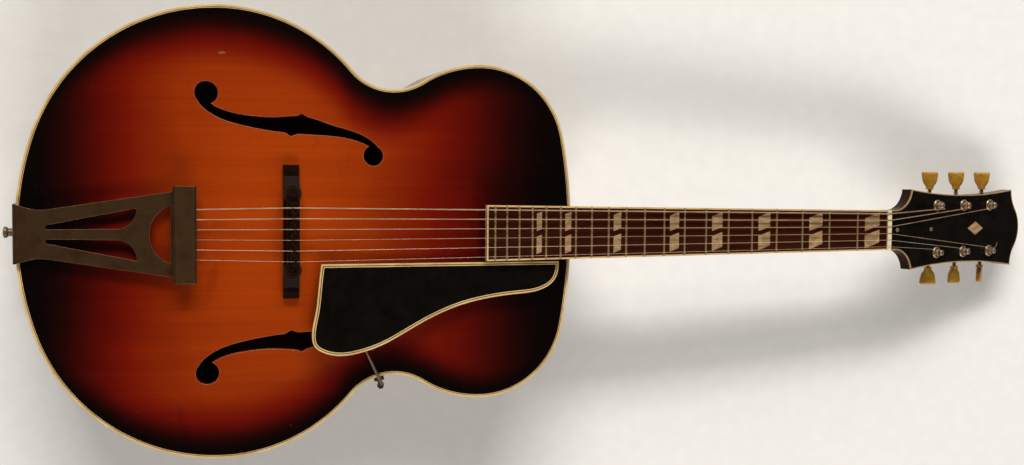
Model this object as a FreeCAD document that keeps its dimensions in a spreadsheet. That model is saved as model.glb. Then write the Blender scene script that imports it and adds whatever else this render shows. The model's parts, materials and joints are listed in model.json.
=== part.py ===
import FreeCAD, Part
import math
import os
import re
import Sketcher
from FreeCAD import Placement, Rotation, Vector

# Archtop guitar lying on its carved back, strings up.
# Body frame: x from the tail edge towards the head, y towards the bass side, z up from the rim's top edge.
# Neck frame: x along the fretboard towards the head from the front of the nut, z square to the fretboard.
# Head frame: x along the headstock face from the back of the nut, z square to that face.

doc = FreeCAD.newDocument("ArchtopGuitar")

# Driving dimensions, millimetres and degrees
SIZES = [
    # body outline and carved plates
    ("body_length", 533.4), ("rim_depth", 86.0), ("side_thickness", 2.5),
    ("lower_bout", 431.8), ("lower_bout_share", 0.430755002),
    ("upper_bout", 331.2), ("upper_bout_share", 0.282004831),
    ("waist_narrowing", 51.6), ("waist_share", 0.658042745),
    ("tail_corner_share", 0.416859657), ("neck_corner_share", 0.259661836),
    ("shoulder_share", 0.760626734), ("waist_curve_share", 0.336522907),
    ("top_thickness", 6.0), ("back_thickness", 5.0),
    ("top_arch", 17.0), ("top_crown_share", 0.491188601),
    ("back_arch", 16.0), ("back_crown_share", 0.562429696),
    ("arch_margin", 16.0), ("binding_width", 3.2),
    ("lining_width", 7.0), ("lining_height", 14.0),
    ("neck_block_length", 50.0), ("neck_block_width", 90.0),
    ("tail_block_length", 30.0), ("tail_block_width", 80.0),
    ("tone_bar_width", 8.0), ("tone_bar_height", 13.0), ("tone_bar_spread", 72.0),
    ("tone_bar_tail_margin", 105.0), ("tone_bar_neck_margin", 98.4),
    # sound holes
    ("sound_hole_lead", 6.0), ("sound_hole_offset", 104.5), ("sound_hole_length", 158.0),
    ("sound_hole_tail_radius", 11.0), ("sound_hole_head_radius", 9.7),
    # neck, fretboard and nut
    ("scale_length", 647.7), ("neck_pitch", 3.64), ("board_height", 17.4),
    ("nut_width", 42.9), ("nut_thickness", 5.0), ("nut_height", 8.0),
    ("board_end_width", 55.0), ("board_overhang", 8.5), ("board_thickness", 6.0), ("board_binding", 1.6),
    ("fret_width", 2.0), ("fret_height", 1.1), ("inlay_thickness", 1.4),
    ("inlay_share", 0.573), ("inlay_trim", 2.8), ("inlay_height_share", 0.32), ("inlay_slant", 0.36),
    ("inlay_gap_share", 0.33),
    ("neck_depth", 16.0), ("neck_depth_gain", 3.0),
    ("riser_width", 40.0), ("tenon_width", 28.0), ("tenon_length", 22.0), ("tenon_depth", 58.0),
    ("heel_cap_thickness", 1.8), ("heel_width", 26.0), ("heel_length", 21.0),
    ("truss_rod_radius", 2.2), ("truss_rod_length", 360.0), ("truss_rod_depth", 8.0),
    ("truss_nut_radius", 3.6), ("truss_nut_length", 8.0), ("truss_reach", 30.0),
    # headstock
    ("head_tilt", 14.0), ("head_drop", 2.0), ("head_thickness", 14.5), ("veneer_thickness", 1.5),
    ("head_length", 212.4), ("head_corner_at", 198.6), ("head_end_width", 86.8),
    ("head_flare_at", 34.0), ("head_flare_width", 87.8), ("head_waist_width", 75.2),
    ("head_binding", 1.8), ("lozenge_length", 26.0), ("lozenge_width", 15.0), ("lozenge_at", 138.0),
    ("cover_length", 62.0), ("cover_width", 22.0), ("cover_thickness", 2.0),
    # tuners
    ("post_first_at", 74.2), ("post_spacing", 43.5), ("post_offset", 26.0),
    ("post_radius", 3.0), ("post_height", 9.0), ("bushing_radius", 4.9), ("bushing_flange", 6.3),
    ("gear_teeth", 14), ("gear_pitch_radius", 5.6), ("gear_thickness", 2.4),
    ("worm_pitch_radius", 2.6), ("tooth_height", 0.65), ("tooth_width", 0.85),
    ("worm_depth", 4.2), ("shaft_radius", 2.2), ("button_start", 17.6), ("button_length", 19.6),
    ("button_width", 18.0), ("button_thickness", 6.4), ("button_collar_radius", 4.2),
    ("housing_wall", 0.9), ("tab_length", 5.5), ("tab_width", 9.0),
    # bridge
    ("bridge_to_rim", 282.9), ("bridge_at", "=body_length - bridge_to_rim"),
    ("bridge_shift", 2.0), ("base_length", 127.0), ("base_width", 15.0),
    ("base_height", 7.2), ("base_end_height", 3.0), ("scoop_start", 43.0), ("scoop_end", 53.0),
    ("bridge_post_radius", 2.0), ("bridge_post_spread", 72.0),
    ("wheel_radius", 9.0), ("wheel_thickness", 3.0), ("wheel_gap", 2.6),
    ("saddle_width", 11.0), ("saddle_body_height", 6.0), ("saddle_ridge_width", 5.0), ("crest_height", 40.4),
    # tailpiece and endpin
    ("plate_thickness", 1.6), ("tail_bend_height", 3.2), ("tail_bend_radius", 4.0), ("tail_leg_length", 62.0),
    ("tail_end_width", 55.2), ("tail_neck_width", 43.2), ("tail_neck_share", 0.141843972),
    ("tail_throat_radius", 40.0), ("bar_share", 0.562874251), ("bar_at", "=bridge_at * bar_share"),
    ("bar_width", 21.4), ("bar_length", 90.2), ("bar_thickness", 8.0), ("bar_middle", 28.0),
    ("plate_bar_width", 82.8), ("endpin_depth", 43.0), ("endpin_radius", 6.0), ("endpin_reach", 12.0),
    ("endpin_peg_radius", 4.0), ("endpin_peg_length", 24.0),
    # pickguard
    ("guard_drop", 8.0), ("guard_thickness", 2.4), ("guard_edge", 1.6), ("guard_board_gap", 1.4),
    ("guard_bridge_gap", 27.0), ("bracket_at", 12.0), ("bracket_depth", 13.0), ("bracket_stand", 8.0),
    ("pad_length", 22.0), ("pad_width", 10.0), ("pad_along", 30.5), ("pad_across", 84.0),
    ("foot_radius", 5.0), ("bracket_radius", 1.7), ("bracket_nut_radius", 3.6), ("bracket_nut_length", 3.0),
    # strings and small fasteners
    ("spread_at_nut", 35.5), ("spread_at_saddle", 50.5), ("spread_at_bar", 46.5),
    ("nut_rest", 1.5), ("string_bend_radius", 6.0),
    ("winding_turns", 2.0), ("winding_gap", 0.5), ("winding_start", 2.8),
    ("screw_head_radius", 2.3), ("screw_head_height", 1.3), ("screw_radius", 1.1), ("screw_length", 8.0),
    # clearances
    ("seat", 0.05), ("running", 0.1), ("clearance", 0.3),
]
GAUGES = {1: 0.30, 2: 0.41, 3: 0.61, 4: 0.81, 5: 1.07, 6: 1.32}
FRETS = 20
BODY_FRET = 14
MARKED_FRETS = (1, 3, 5, 7, 9, 12, 15, 17)
BUTTON_ANGLES = {1: 36.0, 2: 2.0, 3: -30.0, 4: -50.0, 5: -47.0, 6: -52.0}

sheet = doc.addObject("Spreadsheet::Sheet", "Sizes")
for row, (alias, number) in enumerate(SIZES, start=1):
    sheet.set("A%d" % row, alias)
    sheet.set("B%d" % row, str(number))
    sheet.setAlias("B%d" % row, alias)
doc.recompute()
ALIASES = {alias for alias, number in SIZES}
nodes = {}


def size(alias):
    """A driving dimension read from the sheet."""
    return float(sheet.get(alias))


def bind(text):
    """An expression in plain aliases, with each alias pointed at the sheet."""
    def point(word):
        return "Sizes." + word.group() if word.group() in ALIASES else word.group()
    return re.sub(r"[a-z_]+", point, text)


def value(text):
    """The number that an expression in plain aliases stands for."""
    return float(sheet.evalExpression(bind(text)))


def bound(kind, name, **sizes):
    """A document object whose sizes follow the sheet."""
    made = doc.addObject(kind, name)
    for key, text in sizes.items():
        made.setExpression(key, bind(text))
    return made


def placed(made, x="0", y="0", z="0", rotation=None):
    """Move an object to a point that follows the sheet."""
    if rotation:
        made.Placement = Placement(Vector(), rotation)
    for axis, text in (("x", x), ("y", y), ("z", z)):
        made.setExpression("Placement.Base." + axis, bind(text))
    return made


def box(name, x, y, z, length, width, height):
    """A box from its low corner and its three sides."""
    return placed(bound("Part::Box", name, Length=length, Width=width, Height=height), x, y, z)


def rod(name, x, y, z, radius, length, rotation=None):
    """A cylinder from the centre of its first face."""
    return placed(bound("Part::Cylinder", name, Radius=radius, Height=length), x, y, z, rotation)


def cut(name, base, tools):
    """A base with tools taken away."""
    tool = tools[0]
    if len(tools) > 1:
        tool = doc.addObject("Part::MultiFuse", name + "_tools")
        tool.Shapes = tools
    made = doc.addObject("Part::Cut", name)
    made.Base = base
    made.Tool = tool
    return made


def fuse(name, pieces):
    """Several pieces joined into one solid."""
    made = doc.addObject("Part::MultiFuse", name)
    made.Shapes = pieces
    made.Refine = True
    return made


def shaped(name, shape):
    """An object whose shape is worked out by the code here."""
    made = doc.addObject("Part::Feature", name)
    made.Shape = shape
    return made


def extruded(name, face, length):
    """A face drawn straight up by a length that follows the sheet."""
    made = bound("Part::Extrusion", name, LengthFwd=length)
    made.Base = shaped(name + "_face", face)
    made.DirMode = "Custom"
    made.Dir = Vector(0, 0, 1)
    made.Solid = True
    return made


def polygon_sketch(body, name, role, corners):
    """A closed polygon on one of the body's origin planes, each corner tied to the sheet."""
    sketch = body.newObject("Sketcher::SketchObject", name)
    planes = [plane for plane in body.Origin.OriginFeatures if plane.Role == role]
    sketch.AttachmentSupport = [(planes[0], "")]
    sketch.MapMode = "FlatFace"
    points = [Vector(value(across), value(up), 0) for across, up in corners]
    count = len(points)
    for i, point in enumerate(points):
        sketch.addGeometry(Part.LineSegment(point, points[(i + 1) % count]))
    for i in range(count):
        sketch.addConstraint(Sketcher.Constraint("Coincident", i, 2, (i + 1) % count, 1))
    for i, corner in enumerate(corners):
        for kind, text in zip(("DistanceX", "DistanceY"), corner):
            index = sketch.addConstraint(Sketcher.Constraint(kind, -1, 1, i, 1, value(text)))
            sketch.setExpression("Constraints[%d]" % index, bind(text))
    return sketch


def padded(name, role, corners, length):
    """A body padded from a polygon sketch."""
    body = doc.addObject("PartDesign::Body", name)
    pad = body.newObject("PartDesign::Pad", name + "_pad")
    pad.Profile = polygon_sketch(body, name + "_sketch", role, corners)
    pad.setExpression("Length", bind(length))
    return body


def turned(name, corners):
    """A body turned about its own z axis from a half section of (radius, height) corners."""
    body = doc.addObject("PartDesign::Body", name)
    sketch = polygon_sketch(body, name + "_sketch", "XZ_Plane", corners)
    turn = body.newObject("PartDesign::Revolution", name + "_turn")
    turn.Profile = sketch
    turn.ReferenceAxis = (sketch, ["V_Axis"])
    turn.Angle = 360
    return body


def moved(shape, placement):
    """A copy of a shape carried by a placement."""
    copy = shape.copy()
    copy.Placement = placement.multiply(copy.Placement)
    return copy


def keep(made, label, placement):
    """Enter a finished piece as a node of the guitar."""
    nodes[label] = (made, label, placement)
    return made


def arc_between(start, direction, end):
    """The arc that leaves start along direction and reaches end."""
    chord = end - start
    along = Vector(chord).normalize()
    side = direction - along * direction.dot(along)
    if side.Length < 1e-9:
        return Part.LineSegment(start, end).toShape()
    bend = direction.getAngle(chord)
    middle = start + chord * 0.5 + side.normalize() * (chord.Length / 2 * math.tan(bend / 2))
    return Part.Arc(start, middle, end).toShape()


def biarc(start, leave, end, arrive):
    """Two arcs in a row that join two points and their directions."""
    gap = end - start
    turn = leave + arrive
    a = 2 * (1 - leave.dot(arrive))
    b = gap.dot(turn)
    if abs(a) < 1e-9:
        reach = gap.dot(gap) / (4 * gap.dot(arrive))
    else:
        reach = (-b + math.sqrt(b * b + a * gap.dot(gap))) / a
    joint = (start + leave * reach + end - arrive * reach) * 0.5
    first = arc_between(start, leave, joint)
    back = arc_between(end, arrive * -1, joint)
    return [first, back]


def rounded_path(points, bends):
    """Straight runs through points, with a tangent arc of the given radius at each inner point."""
    edges = []
    start = points[0]
    for before, corner, after, radius in zip(points, points[1:], points[2:], bends):
        into = (corner - before).normalize()
        out = (after - corner).normalize()
        reach = radius * math.tan(into.getAngle(out) / 2)
        first = corner - into * reach
        last = corner + out * reach
        edges.append(Part.LineSegment(start, first).toShape())
        edges.append(arc_between(first, into, last))
        start = last
    edges.append(Part.LineSegment(start, points[-1]).toShape())
    return edges


def tube(edges, radius):
    """A round tube swept along a path of edges."""
    path = Part.Wire(Part.__sortEdges__(edges))
    start = path.OrderedVertexes[0].Point
    first = path.OrderedEdges[0]
    direction = first.tangentAt(first.getParameterByLength(0))
    ring = Part.Wire(Part.makeCircle(radius, start, direction))
    return path.makePipeShell([ring], True, False)


# Shared places worked out from the driving dimensions
pitch = math.radians(size("neck_pitch"))
seat = size("seat")
running = size("running")
clear = size("clearance")


def fret_distance(fret):
    """Distance of a fret from the nut."""
    return size("scale_length") * (1 - 2 ** (-fret / 12))


nut_x = size("body_length") + fret_distance(BODY_FRET) * math.cos(pitch)
nut_z = size("board_height") - fret_distance(BODY_FRET) * math.sin(pitch)
board_length = fret_distance(FRETS) + size("board_overhang")
waist_x = size("body_length") * size("waist_share")
neck_frame = Placement(Vector(nut_x, 0, nut_z), Rotation(Vector(0, 1, 0), size("neck_pitch")))
head_frame = neck_frame.multiply(Placement(Vector(size("nut_thickness"), 0, -size("head_drop")),
                                           Rotation(Vector(0, 1, 0), size("head_tilt"))))
head_tip_x = head_frame.multVec(Vector(size("head_length"), 0, 0)).x
tail_tip_x = -size("plate_thickness") - size("endpin_reach")
body_place = Placement(
    Vector(-(head_tip_x + tail_tip_x) / 2, 0, size("rim_depth") + size("back_arch")), Rotation())
neck_place = body_place.multiply(neck_frame)
head_place = body_place.multiply(head_frame)


def board_half_width(x):
    """Half the fretboard's width at a neck-frame x."""
    gain = (size("board_end_width") - size("nut_width")) / board_length
    return (size("nut_width") - gain * x) / 2


# Body outline: eight tangent arcs a side, from the tail to the neck
def outline_arcs():
    """Centre, radius, first point, last point and hollow flag of each arc on the bass side."""
    tail = Vector(0, 0, 0)
    head = Vector(size("body_length"), 0, 0)
    lower = Vector(size("lower_bout") * size("lower_bout_share"), size("lower_bout") / 2, 0)
    waist = Vector(waist_x, (size("upper_bout") - size("waist_narrowing")) / 2, 0)
    upper = Vector(head.x - size("upper_bout") * size("upper_bout_share"), size("upper_bout") / 2, 0)

    def end_radius(bout, reach, radius):
        return (reach ** 2 + bout.y ** 2 - 2 * bout.y * radius) / (2 * (reach - radius))

    def both_radii(one, other):
        rise = abs(one.y - other.y)
        return ((one.x - other.x) ** 2 + rise ** 2) / (2 * rise)

    def below(point, radius):
        return point - Vector(0, radius, 0)

    tail_corner = size("lower_bout") * size("tail_corner_share")
    neck_corner = size("upper_bout") * size("neck_corner_share")
    shoulder = both_radii(lower, waist) * size("shoulder_share")
    low_waist_radius = both_radii(lower, waist) - shoulder
    waist_radius = both_radii(upper, waist) * size("waist_curve_share")
    upper_radius = both_radii(upper, waist) - waist_radius
    tail_radius = end_radius(lower, lower.x, tail_corner)
    head_radius = end_radius(upper, head.x - upper.x, neck_corner)
    tail_centre = tail + Vector(tail_radius, 0, 0)
    head_centre = head - Vector(head_radius, 0, 0)
    corner_one = below(lower, tail_corner)
    corner_two = below(lower, shoulder)
    waist_one = below(waist, -low_waist_radius)
    waist_two = below(waist, -waist_radius)
    upper_one = below(upper, upper_radius)
    upper_two = below(upper, neck_corner)

    def towards(centre, other, radius):
        return centre + (other - centre).normalize() * radius

    joint_tail = towards(tail_centre, corner_one, tail_radius)
    joint_low = towards(corner_two, waist_one, shoulder)
    joint_high = towards(waist_two, upper_one, waist_radius)
    joint_head = towards(head_centre, upper_two, head_radius)
    return [
        (tail_centre, tail_radius, tail, joint_tail, False),
        (corner_one, tail_corner, joint_tail, lower, False),
        (corner_two, shoulder, lower, joint_low, False),
        (waist_one, low_waist_radius, joint_low, waist, True),
        (waist_two, waist_radius, waist, joint_high, True),
        (upper_one, upper_radius, joint_high, upper, False),
        (upper_two, neck_corner, upper, joint_head, False),
        (head_centre, head_radius, joint_head, head, False),
    ]


ARCS = outline_arcs()


def half_outline(inset, side, level):
    """Edges of one half of the outline, tail to neck, moved inwards and set at a level."""
    edges = []
    for centre, radius, first, last, hollow in ARCS:
        new_radius = radius + inset if hollow else radius - inset
        one = (first - centre).normalize()
        two = (last - centre).normalize()
        middle = (one + two).normalize()
        points = [centre + way * new_radius for way in (one, middle, two)]
        points = [Vector(point.x, side * point.y, level) for point in points]
        edges.append(Part.Arc(*points).toShape())
    return edges


def outline_face(inset, level):
    """The whole outline as a flat face."""
    edges = half_outline(inset, 1, level) + half_outline(inset, -1, level)
    return Part.Face(Part.Wire(Part.__sortEdges__(edges)))


def half_ring(outer, inner, side, level):
    """A flat band along one half of the outline, between two insets."""
    outside = half_outline(outer, side, level)
    inside = half_outline(inner, side, level)
    ends = []
    for place in (0, -1):
        one = Part.Wire(Part.__sortEdges__(outside)).OrderedVertexes[place].Point
        two = Part.Wire(Part.__sortEdges__(inside)).OrderedVertexes[place].Point
        ends.append(Part.LineSegment(one, two).toShape())
    return Part.Face(Part.Wire(Part.__sortEdges__(outside + inside + ends)))


def half_width(x):
    """Half the body's width at a distance from the tail."""
    for centre, radius, first, last, hollow in ARCS:
        if first.x <= x <= last.x:
            rise = math.sqrt(max(radius ** 2 - (x - centre.x) ** 2, 0))
            return centre.y - rise if hollow else centre.y + rise
    return 0.0


def arch(x, y, rise, crown):
    """Height of a carved plate over its flat edge."""
    margin = size("arch_margin")
    reach = crown - margin if x < crown else size("body_length") - margin - crown
    along = abs(x - crown) / reach
    half = half_width(x) - margin
    if along >= 1 or half <= 0 or abs(y) >= half:
        return 0.0
    return rise * (1 - along ** 3) ** 2 * (1 - (abs(y) / half) ** 2.4) ** 2


GRID = 9.0


def arch_face(rise, crown, level, upwards):
    """A smooth carved surface over the whole outline."""
    margin = 3 * GRID
    columns = int((size("body_length") + 2 * margin) / GRID) + 1
    rows = int((size("lower_bout") + 2 * margin) / GRID) + 1
    xs = [-margin + (size("body_length") + 2 * margin) * i / (columns - 1) for i in range(columns)]
    half = size("lower_bout") / 2 + margin
    ys = [-half + 2 * half * j / (rows - 1) for j in range(rows)]
    poles = [[Vector(x, y, level + upwards * arch(x, y, rise, crown)) for y in ys] for x in xs]
    degree = 3

    def knots(count):
        return list(range(count - degree + 1))

    def repeats(count):
        return [degree + 1] + [1] * (count - degree - 1) + [degree + 1]

    surface = Part.BSplineSurface()
    surface.buildFromPolesMultsKnots(
        poles, repeats(columns), repeats(rows), knots(columns), knots(rows), False, False, degree, degree)
    return surface.toShape()


def top_surface(drop):
    """The top plate's outer surface, lowered by a distance."""
    return arch_face(size("top_arch"), size("body_length") * size("top_crown_share"), -drop, 1)


def outline_prism(inset, low, high):
    """Everything inside an inset of the outline between two levels."""
    return outline_face(inset, low).extrude(Vector(0, 0, high - low))


REACH = 120.0
under_top = top_surface(-clear).extrude(Vector(0, 0, -REACH))


# Sound holes: two round ends joined by a waved slot with two small nicks
def sound_hole(side):
    """A sound hole as a tall cutter."""
    unit = size("sound_hole_length")
    tail_eye = (-0.531, 0.178)
    head_eye = (0.469, -0.189)
    outer_edge = [(-0.512, 0.120), (-0.468, 0.092), (-0.388, 0.064), (-0.257, 0.043), (-0.094, 0.040),
                  (0.033, 0.048), (0.211, -0.003), (0.440, -0.082), (0.506, -0.143)]
    inner_edge = [(0.440, -0.127), (0.276, -0.078), (0.049, -0.063), (-0.206, -0.036), (-0.339, -0.009),
                  (-0.440, 0.022), (-0.506, 0.056), (-0.570, 0.112), (-0.594, 0.160)]
    outer_nick = [(-0.03, 0.034), (0.034, 0.062), (0.10, 0.025)]
    inner_nick = [(0.03, -0.052), (-0.034, -0.076), (-0.10, -0.036)]

    def spot(point):
        return Vector(size("bridge_at") + size("sound_hole_lead") + point[0] * unit,
                      side * (size("sound_hole_offset") + point[1] * unit), -REACH / 2)

    def curve(points):
        line = Part.BSplineCurve()
        line.interpolate([spot(point) for point in points])
        return line.toShape()

    def run(one, other):
        return Part.LineSegment(spot(one), spot(other)).toShape()

    edges = [curve(outer_edge), run(outer_edge[-1], head_eye), run(head_eye, inner_edge[0]),
             curve(inner_edge), run(inner_edge[-1], tail_eye), run(tail_eye, outer_edge[0])]
    up = Vector(0, 0, REACH)
    slot = Part.Face(Part.Wire(Part.__sortEdges__(edges))).extrude(up)
    nicks = []
    for nick in (outer_nick, inner_nick):
        corners = [spot(point) for point in nick]
        nicks.append(Part.Face(Part.makePolygon(corners + corners[:1])).extrude(up))
    eyes = [Part.makeCylinder(size(radius), REACH, spot(eye)) for radius, eye in
            (("sound_hole_tail_radius", tail_eye), ("sound_hole_head_radius", head_eye))]
    return slot.fuse(nicks + eyes)


# Where each string's tuner stands on the headstock
TUNERS = {}
for number in GAUGES:
    bass = number > 3
    place = 6 - number if bass else number - 1
    TUNERS[number] = Vector(size("post_first_at") + place * size("post_spacing"),
                            size("post_offset") if bass else -size("post_offset"), 0)


def screw_spots():
    """Placements of every small wood screw, head up, in the body frame."""
    spots = []
    for along in (0.075, 0.93):
        here = Vector(size("cover_length") * along + 5, 0, size("cover_thickness"))
        spots.append(head_frame.multiply(Placement(here, Rotation())))
    back = Rotation(Vector(1, 0, 0), 180)
    for centre in TUNERS.values():
        for end in tab_centres():
            here = Vector(centre.x + end, centre.y, -size("head_thickness") - size("housing_wall"))
            spots.append(head_frame.multiply(Placement(here, back)))
    outwards = Rotation(Vector(0, 1, 0), -90)
    for across, down in ((-16, 0.42), (16, 0.42), (0, 0.88)):
        here = Vector(-size("plate_thickness"), across, -size("tail_leg_length") * down)
        spots.append(Placement(here, outwards))
    return spots


def tab_centres():
    """Where the two screw tabs of a tuner lie along the headstock, from its post."""
    low, high = housing_ends()
    return (low - size("tab_length") / 2, high + size("tab_length") / 2)


def housing_ends():
    """The two ends of a tuner housing along the headstock, from its post."""
    gear_tip = size("gear_pitch_radius") + size("tooth_height")
    worm_tip = size("worm_pitch_radius") + size("tooth_height")
    spare = clear + size("housing_wall")
    centres = size("gear_pitch_radius") + size("worm_pitch_radius")
    return (-gear_tip - spare, centres + worm_tip + spare)


SCREWS = screw_spots()
screw_holes = [
    moved(Part.makeCylinder(size("screw_radius") + seat, size("screw_length") + clear + 20,
                            Vector(0, 0, -size("screw_length") - clear)), spot) for spot in SCREWS]
screw = turned("screw", [("0", "-screw_length"), ("screw_radius", "-screw_length + screw_radius"),
                         ("screw_radius", "0"), ("screw_head_radius", "0"),
                         ("screw_head_radius * 0.8", "screw_head_height * 0.7"), ("0", "screw_head_height")])
doc.recompute()
keep(shaped("wood_screws", Part.makeCompound([moved(screw.Shape, spot) for spot in SCREWS])),
     "wood_screws", body_place)
screw_tool = shaped("screw_tool", Part.makeCompound(screw_holes))


# Carved plates
top_slab = top_surface(0).extrude(Vector(0, 0, -size("top_thickness")))
top_shape = outline_prism(size("binding_width"), -REACH, REACH).common(top_slab)
top_shape = top_shape.cut([sound_hole(1), sound_hole(-1)])
keep(shaped("top_plate", top_shape), "top_plate", body_place)

back_crown = size("body_length") * size("back_crown_share")
back_face = arch_face(size("back_arch"), back_crown, -size("rim_depth"), -1)
back_slab = back_face.extrude(Vector(0, 0, size("back_thickness")))
back_shape = outline_prism(size("binding_width"), -REACH - size("rim_depth"), REACH).common(back_slab)
keep(shaped("back_plate", back_shape), "back_plate", body_place)

# Rim: two bent sides, notched for the neck tenon and drilled for the endpin
rim_low = -size("rim_depth") + size("back_thickness")
along_x = Rotation(Vector(0, 1, 0), 90)
tenon_notch = box(
    "tenon_notch", "body_length - side_thickness - tenon_length - clearance", "-tenon_width / 2 - clearance",
    "-top_thickness - tenon_depth - clearance", "tenon_length + side_thickness * 3",
    "tenon_width + 2 * clearance", "tenon_depth + clearance")
peg_hole = rod("peg_hole", "-side_thickness", "0", "-endpin_depth", "endpin_peg_radius + running",
               "endpin_peg_length + side_thickness", along_x)
for name, side in (("bass_side", 1), ("treble_side", -1)):
    strip = extruded(name + "_strip", half_ring(0, size("side_thickness"), side, rim_low),
                     "rim_depth - top_thickness - back_thickness")
    keep(cut(name, strip, [tenon_notch, peg_hole, screw_tool]), name, body_place)

# Bindings let into the plates' edges
for name, level, thickness in (("top_binding", -size("top_thickness"), "top_thickness"),
                               ("back_binding", -size("rim_depth"), "back_thickness")):
    band = outline_face(0, level).cut(outline_face(size("binding_width"), level))
    keep(extruded(name, band, thickness), name, body_place)

# End blocks inside the rim
inside = extruded("inside", outline_face(size("side_thickness") + seat, rim_low),
                  "rim_depth - top_thickness - back_thickness")
neck_billet = box("neck_billet", "body_length - side_thickness - neck_block_length", "-neck_block_width / 2",
                  "-rim_depth + back_thickness", "neck_block_length + side_thickness", "neck_block_width",
                  "rim_depth - top_thickness - back_thickness")
tail_billet = box("tail_billet", "0", "-tail_block_width / 2", "-rim_depth + back_thickness",
                  "tail_block_length + side_thickness", "tail_block_width",
                  "rim_depth - top_thickness - back_thickness")
for name, billet, hole in (("neck_block", neck_billet, tenon_notch), ("tail_block", tail_billet, peg_hole)):
    blank = doc.addObject("Part::Common", name + "_blank")
    blank.Base = billet
    blank.Tool = inside
    keep(cut(name, blank, [hole, screw_tool]), name, body_place)

# Linings glue the plates to the sides
block_room = [
    Part.makeBox(size("neck_block_length") + 4 * size("side_thickness"), size("neck_block_width") + 2 * clear,
                 2 * size("rim_depth"),
                 Vector(size("body_length") - size("neck_block_length") - size("side_thickness") - clear,
                        -size("neck_block_width") / 2 - clear, -1.5 * size("rim_depth"))),
    Part.makeBox(size("tail_block_length") + 2 * size("side_thickness") + clear,
                 size("tail_block_width") + 2 * clear, 2 * size("rim_depth"),
                 Vector(-size("side_thickness"), -size("tail_block_width") / 2 - clear,
                        -1.5 * size("rim_depth"))),
]
linings = []
for side in (1, -1):
    for level in (rim_low, -size("top_thickness") - size("lining_height")):
        outer = size("side_thickness") + seat
        strip = half_ring(outer, outer + size("lining_width"), side, level)
        strip = strip.extrude(Vector(0, 0, size("lining_height")))
        linings.append(strip.cut(block_room))
keep(shaped("linings", Part.makeCompound(linings)), "linings", body_place)

# Tone bars under the top follow its arch
bar_slab = top_surface(size("top_thickness") + seat).extrude(Vector(0, 0, -size("tone_bar_height")))
bar_length = size("body_length") - size("tone_bar_tail_margin") - size("tone_bar_neck_margin")
bars = []
for side in (1, -1):
    low = Vector(size("tone_bar_tail_margin"),
                 side * size("tone_bar_spread") / 2 - size("tone_bar_width") / 2, -REACH / 2)
    bars.append(Part.makeBox(bar_length, size("tone_bar_width"), REACH, low).common(bar_slab))
keep(shaped("tone_bars", Part.makeCompound(bars)), "tone_bars", body_place)


# Headstock outline in the head frame
def head_outline():
    """Edges of the headstock: flared ears, hollow sides and a waved end."""
    half = size("nut_width") / 2
    ear = (size("head_flare_at"), size("head_flare_width") / 2)
    corner = (size("head_corner_at"), size("head_end_width") / 2)
    edges = []
    for side in (1, -1):
        def at(x, y):
            return Vector(x, side * y, 0)
        start = ear[0] - (ear[1] - half) * 1.15
        throat = at(start + (ear[0] - start) * 0.66, half + (ear[1] - half) * 0.26)
        edges.append(Part.LineSegment(at(0, half), at(start, half)).toShape())
        edges.append(Part.Arc(at(start, half), throat, at(*ear)).toShape())
        middle = at((ear[0] + corner[0]) / 2, size("head_waist_width") / 2)
        edges.append(Part.Arc(at(*ear), middle, at(*corner)).toShape())
        inwards = Vector(0, -side, 0)
        edges += biarc(at(*corner), inwards, at(size("head_length"), 0), inwards)
    edges.append(Part.LineSegment(Vector(0, -half, 0), Vector(0, half, 0)).toShape())
    return Part.Wire(Part.__sortEdges__(edges))


head_wire = head_outline()
head_face = Part.Face(head_wire)
inner_head_wire = head_wire.makeOffset2D(-size("head_binding"), 2)
inner_head_face = Part.Face(inner_head_wire)

# Neck: rounded shaft, heel, tenon, riser over the top and tilted headstock
def rounded_section(x, half, depth):
    """A flat-topped round-bottomed section of the neck, in the neck frame."""
    top = -size("board_thickness")
    points = [(half, 0), (half * 0.93, 0.42), (half * 0.62, 0.84), (0, 1.0), (-half * 0.62, 0.84),
              (-half * 0.93, 0.42), (-half, 0)]
    curve = Part.BSplineCurve()
    curve.interpolate([Vector(x, y, top - depth * down) for y, down in points],
                      InitialTangent=Vector(0, 0, -1), FinalTangent=Vector(0, 0, 1))
    flat = Part.LineSegment(Vector(x, -half, top), Vector(x, half, top)).toShape()
    return Part.Wire([curve.toShape(), flat])


def heel_section(level, half, length):
    """A level section through the heel, in the body frame."""
    root = size("body_length") - size("side_thickness")
    reach = length + size("side_thickness")
    points = [(0, half), (0.45 * reach, half * 0.93), (0.86 * reach, half * 0.55), (reach, 0),
              (0.86 * reach, -half * 0.55), (0.45 * reach, -half * 0.93), (0, -half)]
    curve = Part.BSplineCurve()
    curve.interpolate([Vector(root + x, y, level) for x, y in points],
                      InitialTangent=Vector(1, 0, 0), FinalTangent=Vector(-1, 0, 0))
    flat = Part.LineSegment(Vector(root, -half, level), Vector(root, half, level)).toShape()
    return Part.Wire([curve.toShape(), flat])


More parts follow.
